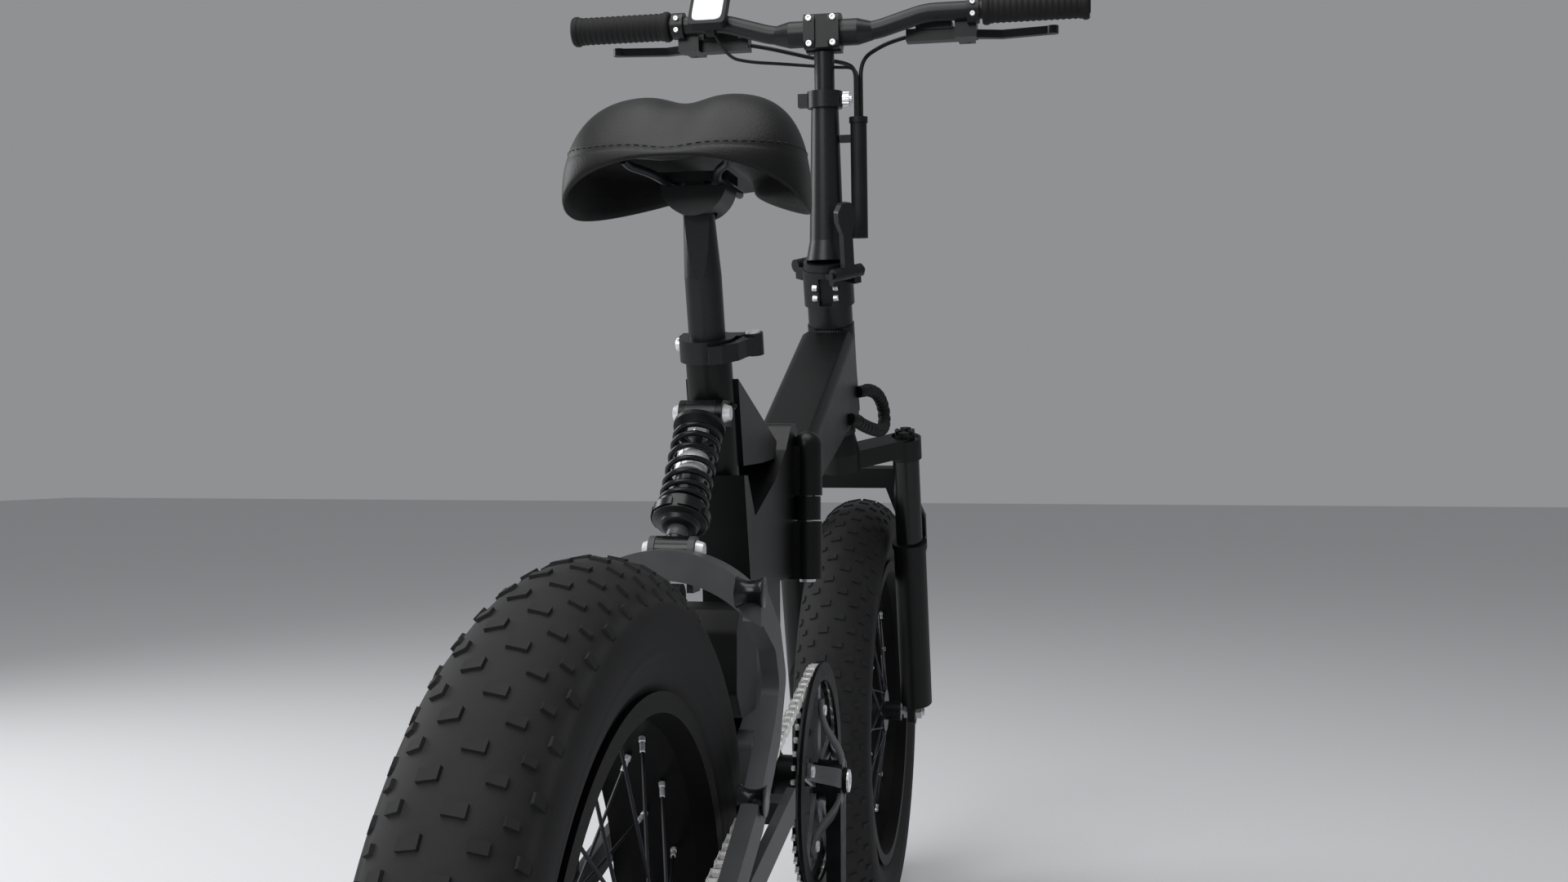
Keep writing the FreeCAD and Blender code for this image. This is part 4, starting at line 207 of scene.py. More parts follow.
def about_axle(radius, side, angle, centre):
    """Points at a radius and angle round an axle along Y, and at a place along it."""
    x, z = centre[0] + radius * np.cos(angle), centre[1] + radius * np.sin(angle)
    return np.stack(np.broadcast_arrays(x, side, z), axis=-1)


def circle(count):
    """Angles evenly spaced round one full turn."""
    return np.linspace(0, 2 * np.pi, count, endpoint=False)


def unit(vectors):
    """Each vector divided by its length."""
    return vectors / np.linalg.norm(vectors, axis=1, keepdims=True)


def gone_along(line):
    """The length gone along a line at each of its points."""
    return np.concatenate([[0], np.cumsum(np.linalg.norm(np.diff(line, axis=0), axis=1))])


def rings_along(line, steps, across):
    """Places at given lengths along a line, the way it goes there, and two directions square to it: the way
    crossed with a fixed direction, and the way crossed with the first."""
    places = np.stack([np.interp(steps, gone_along(line), line[:, axis]) for axis in range(3)], axis=-1)
    way = unit(np.gradient(places, axis=0))
    aside = unit(np.cross(way, across))
    return places, way, aside, np.cross(way, aside)


def tube_faces(rows, columns, flip=False):
    """Quads between rings of points and one face over each end; flip turns them all round."""
    last = rows * columns
    faces = grid_faces(rows, columns, False, True).tolist()
    faces += [list(range(columns)), list(range(last - 1, last - columns - 1, -1))]
    return [face[::-1] for face in faces] if flip else faces


def joined(shapes):
    """The points and faces of several shapes as one set, the faces counted on from shape to shape."""
    first = np.cumsum([0] + [len(points) for points, _ in shapes])
    faces = [(np.array(face) + start).tolist() for (_, group), start in zip(shapes, first) for face in group]
    return np.concatenate([points for points, _ in shapes]), faces


def bead(path, radius):
    """A rope along points in millimetres: rings square to the path, swelling with the sine of the length over
    the ripple and closing as a square root at both ends."""
    length = gone_along(path)[-1]
    steps = np.linspace(0, length, max(8, int(length / RIPPLE * 6)))
    line, _, aside, over = rings_along(path, steps, (0.31, 0.17, 0.94))
    ends = np.sqrt(np.clip(np.minimum(steps, length - steps) / radius, 0.02, 1))
    thick = (radius * ends * (0.86 + 0.14 * np.abs(np.sin(np.pi * steps / RIPPLE))))[:, None, None]
    angle = circle(12)[None, :, None]
    points = line[:, None] + thick * (aside[:, None] * np.cos(angle) + over[:, None] * np.sin(angle))
    return points.reshape(-1, 3) / 1000, tube_faces(len(line), 12, flip=True)


at_seat = frame_at((-281, 0, 745), 16)
across = np.linspace(-1, 1, 25)
behind = np.radians(88) * across
head_seam = np.stack([319 + 3 * across**2, 29 * across, 806 - 2.5 * across**2], axis=-1)
seat_seam = at_seat(-20.2 * np.cos(behind), 20.2 * np.sin(behind), -47)
toe_seam = np.stack([-104 + 0 * across, 22 * across, 665 + 0 * across], axis=-1)
bracket_seams = [about_axle(22.4, side * 22.3, np.linspace(0.4, 2.9, 25), CRANK) for side in (-1, 1)]
front_welds = mesh_piece("beam_welds", *bead(head_seam, 4.2), frame_black, "front_frame")
rear_seams = [bead(seat_seam, 3.2), bead(toe_seam, 4.6), *(bead(path, 3.0) for path in bracket_seams)]
rear_welds = mesh_piece("rear_frame_welds", *joined(rear_seams), frame_black, "rear_frame")

# Machined and anodised pieces
# Turned or forged aluminium, black anodised: the dye keeps the metal's fine drawn or turned lines.
# The lines are about 0.3 mm apart and are drawn at 0.8 mm so that they show.
def anodised(name, low, high, rough, gloss=0.32):
    """Anodised metal: a noise drawn out to lines, 6.4 mm long and an eighth as tall, moves colour and gloss."""
    material = blank(name)
    coords = add(material, "ShaderNodeTexCoord").outputs["Object"]
    stretch = add(material, "ShaderNodeMapping", Vector=coords, Scale=(1.0, 1.0, 8.0)).outputs["Vector"]
    lines = add(material, "ShaderNodeTexNoise", Vector=stretch, Scale=1000 / 6.4, Detail=3.0)
    shine = add(material, "ShaderNodeMapRange", Value=lines.outputs["Fac"],
                To_Min=rough - 0.06, To_Max=rough + 0.08)
    relief = add(material, "ShaderNodeBump", Height=lines.outputs["Fac"], Strength=0.06, Distance=0.0002)
    return finished(material, lines, low, high, STOPS, Roughness=shine.outputs["Result"],
                    Normal=relief.outputs["Normal"], Specular_IOR_Level=gloss)


# Anodised blacks: controls and clamps with a soft gleam, tubes glossier, rims dull and the darkest.
black_anodised = anodised("black anodised aluminium", "#101112", "#18191b", 0.34)
dress(black_anodised, "stem_base", "stem_riser", "stem_latch_lever", "riser_collar", "handlebar_post",
      "stem_faceplate", "handlebar", "seat_post", "saddle_clamp", "seat_clamp", "seat_qr_lever",
      "frame_latch_lever", "headset_cups", "bottom_bracket_cups", "brake_masters", "brake_lever_left",
      "brake_lever_right", "front_brake_caliper", "rear_brake_caliper", "front_hub", "hub_motor", "kickstand",
      "shock_rod")
dark_anodised = anodised("gloss black hard anodised tube", "#090a0b", "#0f1011", 0.22)
dress(dark_anodised, "fork_stanchions", "shock_body")
rim_black = anodised("satin black anodised rim", "#040405", "#090909", 0.5, gloss=0.1)
dress(rim_black, "front_rim", "rear_rim")

# Bare steel pieces
# Zinc plated pins and axles, ground stainless discs, black oxide spokes and rails: metal with fine machining
# lines about 0.4 mm apart and a slight cloudiness from handling.
def bright_metal(name, low, high, rough, line_mm, metal=0.7):
    """Bare metal: clouds 30 mm wide move its colour, and a noise as fine as its lines moves its gloss."""
    material = blank(name)
    coords = add(material, "ShaderNodeTexCoord").outputs["Object"]
    lines = add(material, "ShaderNodeTexNoise", Vector=coords, Scale=1000 / (2 * line_mm), Detail=3.0)
    cloud = add(material, "ShaderNodeTexNoise", Vector=coords, Scale=1000 / 30.0, Detail=3.0)
    shine = add(material, "ShaderNodeMapRange", Value=lines.outputs["Fac"],
                To_Min=rough - 0.08, To_Max=rough + 0.1)
    return finished(material, cloud, low, high, STOPS, Metallic=metal, Roughness=shine.outputs["Result"])


# Zinc is nearly white, ground stainless a broken mid grey, and oxide black with a dark metal gleam.
zinc = bright_metal("bright zinc plated steel", "#e8eaec", "#f6f7f8", 0.28, 0.4, 0.5)
dress(zinc, "frame_pins", "front_axle", "swingarm_pins", "collar_knob")
stainless = bright_metal("ground stainless steel", "#a9abae", "#c3c5c8", 0.3, 0.5)
dress(stainless, "front_brake_disc", "rear_brake_disc")
black_wire = bright_metal("black oxide steel wire", "#26272a", "#33343a", 0.38, 0.5)
dress(black_wire, "front_spokes", "rear_spokes", "saddle_rails", "freewheel")

# Moulded plastics
# The controller box, pedals, lockout knob, cable sleeve, battery pack and the display's housing, moulded in
# glass filled nylon and screwed on. The mould leaves a fine grain about 0.8 mm across.
def moulded(name, low, high, rough, grain_mm, depth):
    """Moulded plastic or rubber: small cells in relief, and clouds 35 mm wide that move colour and gloss."""
    material = blank(name)
    coords = add(material, "ShaderNodeTexCoord").outputs["Object"]
    grain = add(material, "ShaderNodeTexVoronoi", Vector=coords, Scale=1000 / grain_mm)
    cloud = add(material, "ShaderNodeTexNoise", Vector=coords, Scale=1000 / 35.0, Detail=4.0)
    shine = add(material, "ShaderNodeMapRange", Value=cloud.outputs["Fac"],
                To_Min=rough - 0.05, To_Max=rough + 0.08)
    relief = add(material, "ShaderNodeBump", Height=grain.outputs["Distance"], Strength=depth, Distance=0.0003)
    return finished(material, cloud, low, high, STOPS, Roughness=shine.outputs["Result"],
                    Normal=relief.outputs["Normal"], Specular_IOR_Level=0.24)


# Filled nylon: black and half matt, its edges a little softer than the metal's.
black_nylon = moulded("glass filled black nylon", "#0d0e0f", "#151618", 0.5, 0.8, 0.3)
dress(black_nylon, "controller_box", "pedal_left", "pedal_right", "lockout_knob", "cable_sleeve",
      "battery_pack", "display")

# Tyres
# Wide knobbly tyres moulded in black rubber: a casing with round shoulders, and rows of low blocks that are
# moulded with it. Blocks are 2.4 mm tall, about 37 mm apart round the tyre, in eight rows across the tread.
FRONT_AXLE, REAR_AXLE = (600.0, 297.0), (-600.0, 297.0)
TYRE_RADIUS, TYRE_HALF, BELLY = 0.297, 0.049, 0.253
TREAD_RISE = TYRE_RADIUS - BELLY
TREAD_HALF, TREAD_EDGE, TREAD_FADE = 0.061, 0.058, 0.006
BEAD_RADIUS, BEAD_HALF, WALL_FOOT = 0.2005, 0.037, 0.211
RIBS, RIB_TALL, RIB_WIDE = (0.236, 0.218), 0.0007, 0.0016
INNER_HALF, INNER_RISE, CASING_SIDES = 0.0325, 0.088, 180
KNOB, KNOB_ROOT, KNOB_DRAFT, KNOBS_ROUND = 0.0024, 0.0012, 0.0006, 50
BAR = [(-5.5, -4), (5.5, -4), (5.5, 4), (-5.5, 4)]
SHORT_BAR = [(-4.5, -3.2), (4.5, -3.2), (4.5, 3.2), (-4.5, 3.2)]
SLANT_BAR = [(-5, -4.5), (5, -3.4), (5, 4.5), (-5, 3.4)]
LONG_BAR = [(-6.5, -4.8), (6.5, -4), (6.5, 4.8), (-6.5, 4)]
ROWS = ((LONG_BAR, 9.5, 0.0), (BAR, 25.5, 0.45), (SHORT_BAR, 39, 0.0), (SLANT_BAR, 51.5, 0.5))
# Tyre rubber: a dull dark grey that keeps soft shading over the shoulders.
tyre_rubber = moulded("moulded tyre rubber", "#1c1c1d", "#252526", 0.74, 1.2, 0.2)


def tread_point(across, height):
    """Radius and side of a point of the tread: half an ellipse from wall to wall, raised along its normal."""
    angle = across / (0.5 * (TYRE_HALF + TREAD_RISE))
    out, aside = np.cos(angle) * TYRE_HALF, np.sin(angle) * TREAD_RISE
    size = np.hypot(out, aside)
    return (BELLY + TREAD_RISE * np.cos(angle) + height * out / size,
            TYRE_HALF * np.sin(angle) + height * aside / size)


def casing(centre):
    """One closed profile turned about the axle: the tread's base, the shoulders, side walls with two fine ribs,
    the beads and a half-round inner wall."""
    across = np.linspace(-TREAD_HALF, TREAD_HALF, 49)
    top_r, top_y = tread_point(across, -KNOB * np.clip((TREAD_EDGE - np.abs(across)) / TREAD_FADE, 0, 1))
    wall_r = np.linspace(top_r[-1], BEAD_RADIUS, 26)[1:]
    wall_y = TYRE_HALF * np.sqrt(1 - np.clip((wall_r - BELLY) / TREAD_RISE, 0, 1) ** 2)
    wall_y -= (TYRE_HALF - BEAD_HALF) * np.clip((BELLY - wall_r) / (BELLY - WALL_FOOT), 0, 1) ** 2
    wall_y += sum(RIB_TALL * np.exp(-((wall_r - rib) / RIB_WIDE) ** 2) for rib in RIBS)
    inner_y = np.linspace(INNER_HALF, -INNER_HALF, 12)
    inner_r = BEAD_RADIUS + INNER_RISE * np.sqrt(np.clip(1 - (inner_y / (INNER_HALF + 0.0001)) ** 2, 0, 1))
    radius = np.concatenate([top_r, wall_r, inner_r, wall_r[::-1]])
    side = np.concatenate([top_y, wall_y, inner_y, -wall_y[::-1]])
    points = about_axle(radius, side, circle(CASING_SIDES)[:, None], centre)
    return points.reshape(-1, 3), grid_faces(CASING_SIDES, len(radius), True, True)[:, ::-1]


def knobs(centre, outline, across, phase):
    """One row of blocks: an outline in millimetres across and round the tread, from a root inside the casing up
    to the tread's surface, drawn in by 0.6 mm at the top."""
    foot = outline / 1000
    middle = foot.mean(axis=0)
    top = middle + (foot - middle) * (1 - KNOB_DRAFT / np.abs(foot - middle).max())
    corners = np.concatenate([foot, top])
    height = np.repeat([-KNOB - KNOB_ROOT, 0.0], len(foot))
    radius, side = tread_point(across / 1000 + corners[:, 0], height)
    turn = 2 * np.pi * (np.arange(KNOBS_ROUND)[:, None] + phase) / KNOBS_ROUND
    blocks = about_axle(radius, side, turn + corners[:, 1] / TYRE_RADIUS, centre)
    return joined([(points, tube_faces(2, len(foot), flip=True)) for points in blocks])


for wheel, node, axle in (("front_wheel", "front_tyre", FRONT_AXLE), ("rear_wheel", "rear_tyre", REAR_AXLE)):
    centre = np.array(axle) / 1000
    shapes = [casing(centre)]
    for side, shift in ((1, 0.0), (-1, 0.5)):
        shapes += [knobs(centre, (np.array(outline) * (side, 1))[::side], side * across, (phase + shift) % 1)
                   for outline, across, phase in ROWS]
    tyre = mesh_piece(f"{node}_moulding", *joined(shapes), tyre_rubber, wheel, smooth=False)
    tyre.data.polygons.foreach_set("use_smooth", np.arange(len(tyre.data.polygons)) < len(shapes[0][1]))
    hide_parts(node)

# Spoke nipples
# Bright plated nipples 12 mm long, screwed on the rim end of each of the 36 spokes: a round body, a
# square-shouldered end and a slight taper. They stand along their spokes, which cross from hub to rim.
SPOKES, RIM_RADIUS, RIM_SIDE = 36, 189.5, 9.0
NIPPLE = [(1.5, 12.0), (1.9, 11.6), (1.9, 4.0), (2.4, 3.4), (2.4, 0.0)]


def turned(profile, count=24):
    """Radius and height pairs turned about Z and closed at each end. A third number makes a row six-sided: its
    radius times the cosine of 30 degrees, over that of the angle from the nearest flat's middle."""
    rows = np.array([(*row, 0)[:3] for row in profile], dtype=float)
    angle = circle(count)
    facet = np.cos(np.pi / 6) / np.cos((angle % (np.pi / 3)) - np.pi / 6)
    radius = rows[:, :1] * np.where(rows[:, 2:] > 0, facet, 1.0)
    points = np.stack([radius * np.cos(angle), radius * np.sin(angle), rows[:, 1:2] + 0 * angle], axis=-1)
    return points.reshape(-1, 3), tube_faces(len(rows), count)


def stood(shape, origin, up):
    """Stands a shape made about Z along another direction, at a place given in millimetres."""
    points, faces = shape
    turn = np.array(Vector((0, 0, 1)).rotation_difference(Vector(up)).to_matrix())
    return (points @ turn.T + np.array(origin)) / 1000, faces


number = np.arange(SPOKES)
lean_side = np.where(number % 2, 1, -1)
at_rim = 2 * np.pi * number / SPOKES
for wheel, axle, flange, half, lead in (("front_wheel", FRONT_AXLE, 30.2, 34, 42),
                                        ("rear_wheel", REAR_AXLE, 75.2, 36, 14)):
    at_hub = at_rim + np.radians(np.where(number // 2 % 2, lead, -lead))
    low = about_axle(flange, half * lean_side, at_hub, axle)
    high = about_axle(RIM_RADIUS, RIM_SIDE * lean_side, at_rim, axle)
    nipples = [stood(turned(NIPPLE, 10), at, way) for at, way in zip(high, unit(low - high))]
    nipple_set = mesh_piece(f"{wheel}_nipples", *joined(nipples), zinc, wheel, smooth=False)

# Shock rings and nut
# Polished rings at the damper's gland and on its body, and the hexagon lock nut under the spring's upper end.
# They are turned a little larger than the cast steps they cover.
shock_eye = np.array([-389.0, 0.0, 584.0])
shock_axis = np.array([89.0, 0.0, 108.0]) / math.hypot(89.0, 108.0)
BAND = [(11.5, 8.2), (12.6, 8.2), (13.3, 7.5), (13.3, 0.7), (12.6, 0.0), (11.5, 0.0)]
LOCK_NUT = [(5.4, 7.0), (8.3, 7.0), (9.4, 6.2, 1), (9.4, 0.8, 1), (8.3, 0.0), (5.4, 0.0)]
# Polished plate: a near-white, half diffuse colour that is a painted reflection, standing in for the bright
# light the plate would mirror, with sharp highlights on top; the brightest spots of the shock.
chrome_painted_white = bright_metal("chrome plate with painted white reflection", "#f0f2f4", "#fbfcfd", 0.2, 0.5, 0.5)


def on_shock(profile, low, count):
    """A profile turned about the shock's axis, from a height above its lower eye."""
    return stood(turned(profile, count), shock_eye + shock_axis * low, shock_axis)


rings = [on_shock(BAND, low, 40) for low in (72.9, 83.9)]
gland = mesh_piece("shock_rings", *joined(rings), chrome_painted_white, "shock_body", smooth=False)
nut = mesh_piece("shock_lock_nut", *on_shock(LOCK_NUT, 115.0, 24), chrome_painted_white, "shock_rod", smooth=False)

# Spring perch
# The threaded perch under the spring ends in a rounded skirt, turned and black anodised, above a sleeve of
# hard anodised grey on the damper's shaft. Each is turned from one profile.
SKIRT = [(8.1, 28.0), (21.6, 28.0), (22.3, 27.4), (21.2, 26.3), (16.6, 25.6), (15.2, 24.4), (15.5, 22.6),
         (14.6, 20.6), (12.2, 19.7), (8.1, 19.4)]
SHAFT = [(7.6, 19.6), (8.3, 19.6), (8.5, 19.2), (8.5, 10.4), (8.3, 10.0), (7.6, 10.0)]
perch = mesh_piece("spring_perch_skirt", *on_shock(SKIRT, 0.0, 40), black_anodised, "shock_body")
# Hard anodising: a mid grey with a dull gleam along the shaft.
shaft_grey = anodised("hard anodised grey shaft", "#3c3d3f", "#48494b", 0.34)
shaft_tube = mesh_piece("shock_shaft_sleeve", *on_shock(SHAFT, 0.0, 32), shaft_grey, "shock_body")

# Shock spring
# Round steel wire about 5 mm thick wound in seven turns, closer at both ends, gloss black. A ring carried along
# a helix.
TURNS, COIL_RADIUS, WIRE_RADIUS, COIL_FOOT, COIL_TALL = 7, 18.0, 2.4, 42.9, 76.2
# Gloss coat on wire: black with a thin bright line along every turn.
spring_coat = powder_coat("gloss black coat on spring wire", "#101113", "#18191b", 0.24, 0.9)
turn_share = np.linspace(0, 1, TURNS * 32 + 1)[:, None]
rise = COIL_FOOT + COIL_TALL * (turn_share - 0.04 * np.sin(2 * np.pi * turn_share))
coil = 2 * np.pi * TURNS * turn_share
spoke = np.cos(coil) * (0.0, 1.0, 0.0) + np.sin(coil) * np.cross(shock_axis, (0.0, 1.0, 0.0))
wire_turn = circle(12)[None, :, None]
wire_points = (shock_eye + rise * shock_axis + COIL_RADIUS * spoke)[:, None] + WIRE_RADIUS * (
    np.cos(wire_turn) * spoke[:, None] + np.sin(wire_turn) * shock_axis)
spring = mesh_piece("shock_coil", wire_points / 1000, tube_faces(len(coil), 12), spring_coat)
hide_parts("shock_spring")
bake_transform(spring)

# Rack bosses
# Turned aluminium spools across the stays, gloss black anodised: two wide flanges, a waist drawn in to a
# smooth curve, and the threaded hole through them. They stand a little proud of the stay on every side.
SPOOL_HALF, SPOOL_SIDE, WAIST, FLANGE_RISE = 10.5, 69, 8.6, 3.6
LEFT, RIGHT = (0, 1, 0), (0, -1, 0)
# Gloss anodising: black with one clear highlight round each flange.
spool_black = anodised("gloss black anodised spool", "#0b0c0d", "#131416", 0.24)
reach = np.linspace(SPOOL_HALF, -SPOOL_HALF, 29)[1:-1]
swell = WAIST + FLANGE_RISE * np.abs(reach / SPOOL_HALF) ** 2.2
spool = [(2.6, 10.5), (11.6, 10.5), (12.2, 9.9), *zip(swell.tolist(), reach.tolist()),
         (12.2, -9.9), (11.6, -10.5), (2.6, -10.5)]
spools = [stood(turned(spool, 32), (x, side * SPOOL_SIDE, z), LEFT)
          for x, z in ((-426, 556), (-419, 400)) for side in (-1, 1)]
bosses = mesh_piece("rack_spools", *joined(spools), spool_black, "swingarm")
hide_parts("rack_bosses")

# Chainring and cranks
# The toothed ring is black with its teeth worn bright; the guard ring over it stays black. The cranks are
# forged and black anodised, and the thin spider behind the guard is left grey. Both finishes change by place.
MIX_A, MIX_B, MIX_RESULT = 6, 7, 2  # the colour sockets of a mix node, which share their names with others
SIDE_FADE, REACH_FADE = 0.0001, 0.0004


def two_metals(name, dark, bright, low_y, high_y, least):
    """Bright metal between two planes across Y and beyond a radius from the crank's axis, dark metal elsewhere:
    the product of three steep ramps mixes the two."""
    material = blank(name)
    coords = add(material, "ShaderNodeTexCoord").outputs["Object"]
    from_axis = add(material, "ShaderNodeVectorMath", {"operation": "SUBTRACT"},
                    {0: coords, 1: (CRANK[0] / 1000, 0.0, CRANK[1] / 1000)}).outputs["Vector"]
    flat = add(material, "ShaderNodeVectorMath", {"operation": "MULTIPLY"},
               {0: from_axis, 1: (1.0, 0.0, 1.0)}).outputs["Vector"]
    away = add(material, "ShaderNodeVectorMath", {"operation": "LENGTH"}, {0: flat}).outputs["Value"]
    side = add(material, "ShaderNodeSeparateXYZ", Vector=coords).outputs["Y"]
    worn = add(material, "ShaderNodeTexNoise", Vector=coords, Scale=1000 / 9.0, Detail=3.0).outputs["Fac"]
    masks = [add(material, "ShaderNodeMapRange", Value=value, From_Min=none, From_Max=full).outputs["Result"]
             for value, none, full in ((side, low_y - SIDE_FADE, low_y + SIDE_FADE),
                                       (side, high_y + SIDE_FADE, high_y - SIDE_FADE),
                                       (away, least - REACH_FADE, least + REACH_FADE))]
    share = masks[0]
    for mask in masks[1:]:
        share = add(material, "ShaderNodeMath", {"operation": "MULTIPLY"}, {0: share, 1: mask}).outputs["Value"]
    tones = {}
    for socket, colours in ((MIX_A, dark), (MIX_B, bright)):
        tone = add(material, "ShaderNodeValToRGB", Fac=worn)
        for stop, place, colour in zip(tone.color_ramp.elements, STOPS, colours):
            stop.position, stop.color = place, linear(colour)
        tones[socket] = tone.outputs["Color"]
    mixed = add(material, "ShaderNodeMix", {"data_type": "RGBA"}, tones, Factor=share)
    metal = add(material, "ShaderNodeMapRange", Value=share, To_Min=0.0, To_Max=0.7)
    shine = add(material, "ShaderNodeMapRange", Value=worn, To_Min=0.34, To_Max=0.52)
    surface = add(material, "ShaderNodeBsdfPrincipled", Base_Color=mixed.outputs[MIX_RESULT],
                  Metallic=metal.outputs["Result"], Roughness=shine.outputs["Result"], Specular_IOR_Level=0.06)
    add(material, "ShaderNodeOutputMaterial", Surface=surface.outputs["BSDF"])
    return material


# The teeth flash white against a black ring; the spider is a plain grey behind black cranks.
ring_metal = two_metals("black ring with teeth worn bright", ("#0b0c0d", "#131416"), ("#d5d6d6", "#eceded"),
                        -0.0605, -0.05, 0.1025)
dress(ring_metal, "chainring")
crank_metal = two_metals("black forged crank with a grey spider", ("#0e0f10", "#161719"),
                         ("#6a6c70", "#7b7d81"), -0.0645, -0.05, 0.02)
dress(crank_metal, "crank_arms")

# Spider arms
# Five dished arms of grey forged aluminium from the crank's boss in to the ring: a flat bar with round edges
# carried along a bent path, 18 mm wide at the boss and 14 mm at the bolts.
ARM_SIDES, ARM_HALF_THICK = 20, 2.1
# Forged and anodised: a mid grey, a little paler along its fine drawn lines.
arm_grey = anodised("grey anodised forged aluminium", "#4b4c4f", "#58595c", 0.42)
fifths = np.radians(90 + 72 * np.arange(5))
arm_reach = np.array([12, 18, 24, 30, 36, 42, 48, 54, 60, 66, 72, 76], dtype=float)
arm_side = -np.array([84.6, 84.5, 83.6, 81.2, 77.6, 73.6, 69.8, 67.2, 65.7, 65.1, 64.9, 64.8])
arm_half = np.linspace(9.0, 7.0, len(arm_reach))
bend = np.arctan2(np.gradient(arm_side), np.gradient(arm_reach))[:, None]
edge = circle(ARM_SIDES)
flat_u = np.sign(np.cos(edge)) * np.abs(np.cos(edge)) ** 0.35
flat_v = ARM_HALF_THICK * np.sign(np.sin(edge)) * np.abs(np.sin(edge)) ** 0.5
outward = arm_reach[:, None] - np.sin(bend) * flat_v
sideways = arm_side[:, None] + np.cos(bend) * flat_v
breadth = arm_half[:, None] * flat_u
arm_faces = tube_faces(len(arm_reach), ARM_SIDES)
arms = [(np.stack([CRANK[0] + outward * math.cos(a) - breadth * math.sin(a), sideways,
                   CRANK[1] + outward * math.sin(a) + breadth * math.cos(a)], axis=-1).reshape(-1, 3) / 1000,
         arm_faces) for a in fifths]
spider = mesh_piece("spider_arms", *joined(arms), arm_grey, "crankset")

# Chain
# Half-inch roller chain, nickel plated: waisted plates 0.9 mm thick in pairs, inner and outer in turn, with a
# roller at each pin. The links lie on the loop round a 52 tooth ring and an 18 tooth cog.
LINK, RING_TEETH, COG_TEETH, CHAIN_SIDE = 12.7, 52, 18, -57.0
PLATE_END, PLATE_WAIST, PLATE_THICK, PLATE_SIDE, OUTER_STEP = 4.1, 2.9, 0.9, 2.55, 1.0
ROLLER, ROLLER_HALF = 3.85, 2.5
# Nickel: a warm near-white, mostly diffuse colour that is a painted reflection of the plating's bright shine;
# clouds move it a little from link to link.
nickel_painted_white = bright_metal("nickel plated chain steel with painted white shine", "#f0f0ee", "#fbfaf8", 0.28, 0.6, 0.35)
ring_at, cog_at = np.array(CRANK), np.array(REAR_AXLE)
ring_r, cog_r = (LINK / (2 * math.sin(math.pi / teeth)) for teeth in (RING_TEETH, COG_TEETH))
heading = math.atan2(*(cog_at - ring_at)[::-1])
lean = math.acos((ring_r - cog_r) / math.hypot(*(cog_at - ring_at)))


def on_teeth(centre, reach, teeth, first, last):
    """Pins that lie on a sprocket's teeth from one angle to another."""
    step = 2 * math.pi / teeth
    angle = step * np.arange(math.ceil(first / step), math.floor(last / step) + 1)
    return centre + reach * np.stack([np.cos(angle), np.sin(angle)], axis=-1)


def straight(start, end, more=0):
    """Pins evenly spaced on the straight between two sprockets, about a link apart."""
    steps = max(1, round(math.hypot(*(end - start)) / LINK)) + more
    return start + (end - start) * (np.arange(1, steps) / steps)[:, None]


on_ring = on_teeth(ring_at, ring_r, RING_TEETH, heading + lean - 2 * math.pi, heading - lean)
on_cog = on_teeth(cog_at, cog_r, COG_TEETH, heading - lean, heading + lean)
top_run, low_run = straight(on_ring[-1], on_cog[0]), straight(on_cog[-1], on_ring[0])
odd_one = sum(map(len, (on_ring, on_cog, top_run, low_run))) % 2
pins = np.concatenate([on_ring, top_run, on_cog, straight(on_cog[-1], on_ring[0], odd_one)])
way = unit(np.roll(pins, -1, axis=0) - pins)
ends = np.radians([-70, -25, 25, 70, 110, 155, 205, 250])
plate_u = np.insert(PLATE_END * np.cos(ends) + LINK * (np.cos(ends) > 0), (4, 8), LINK / 2)
plate_v = np.insert(PLATE_END * np.sin(ends), (4, 8), (PLATE_WAIST, -PLATE_WAIST))
roller_u, roller_v = ROLLER * np.cos(circle(8)), ROLLER * np.sin(circle(8))
outer = (np.arange(len(pins)) % 2)[:, None]
outlines = [(plate_u, plate_v, side * (PLATE_SIDE + OUTER_STEP * outer + thick))
            for side in (-1, 1) for thick in (0.0, PLATE_THICK)]
outlines += [(roller_u, roller_v, side + 0 * outer) for side in (-ROLLER_HALF, ROLLER_HALF)]
u, v, w = (np.concatenate(part, axis=1) for part in zip(*(np.broadcast_arrays(*line) for line in outlines)))
link_points = np.stack([pins[:, :1] + way[:, :1] * u - way[:, 1:] * v, w + CHAIN_SIDE,
                        pins[:, 1:] + way[:, 1:] * u + way[:, :1] * v], axis=-1) / 1000
link_faces = []
for low, high, count in ((10, 0, 10), (20, 30, 10), (40, 48, 8)):
    corners = np.concatenate([low + np.arange(count), high + np.arange(count)])
    link_faces += [corners[face].tolist() for face in tube_faces(2, count)]
link_shapes = [(points, link_faces) for points in link_points]
links = mesh_piece("chain_links", *joined(link_shapes), nickel_painted_white, smooth=False)
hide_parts("chain")
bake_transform(links)

# Saddle
# A wide comfort saddle: moulded foam under a grained black vinyl cover that is sewn round its edge, hollow
# below for the rails. Twin humps with a channel between them behind, wings at the sides, a slim nose.
SADDLE_SIDES, SADDLE_DEEP, HEM_DROP, ROUNDING = 96, 27.0, 0.0025, 1 / 2.4
SEAM, SEAM_DEEP, SEAM_WIDE = 0.968, 0.0016, 0.006
PLAN_MIDDLE, PLAN_HALF_LONG, PLAN_HALF_WIDE, DRAWN_TO = -281, 135, 100, -300
WIDEST, BACK_LONG, NOSE_LONG, NOSE_SHARE, TIP_FROM, TIP_LONG = -345, 71, 150, 0.24, -180, 34
CHANNEL_DEEP, CHANNEL_HALF, CHANNEL_FROM, CHANNEL_FADE = 8, 21, -215, 80
SKIN_SHARES = [0.04, 0.12, 0.2, 0.28, 0.36, 0.44, 0.52, 0.6, 0.67, 0.73, 0.78, 0.82, 0.86, 0.89, 0.915, 0.935,
               0.95, 0.96, SEAM, 0.976, 0.985, 0.993, 0.998, 1.0]
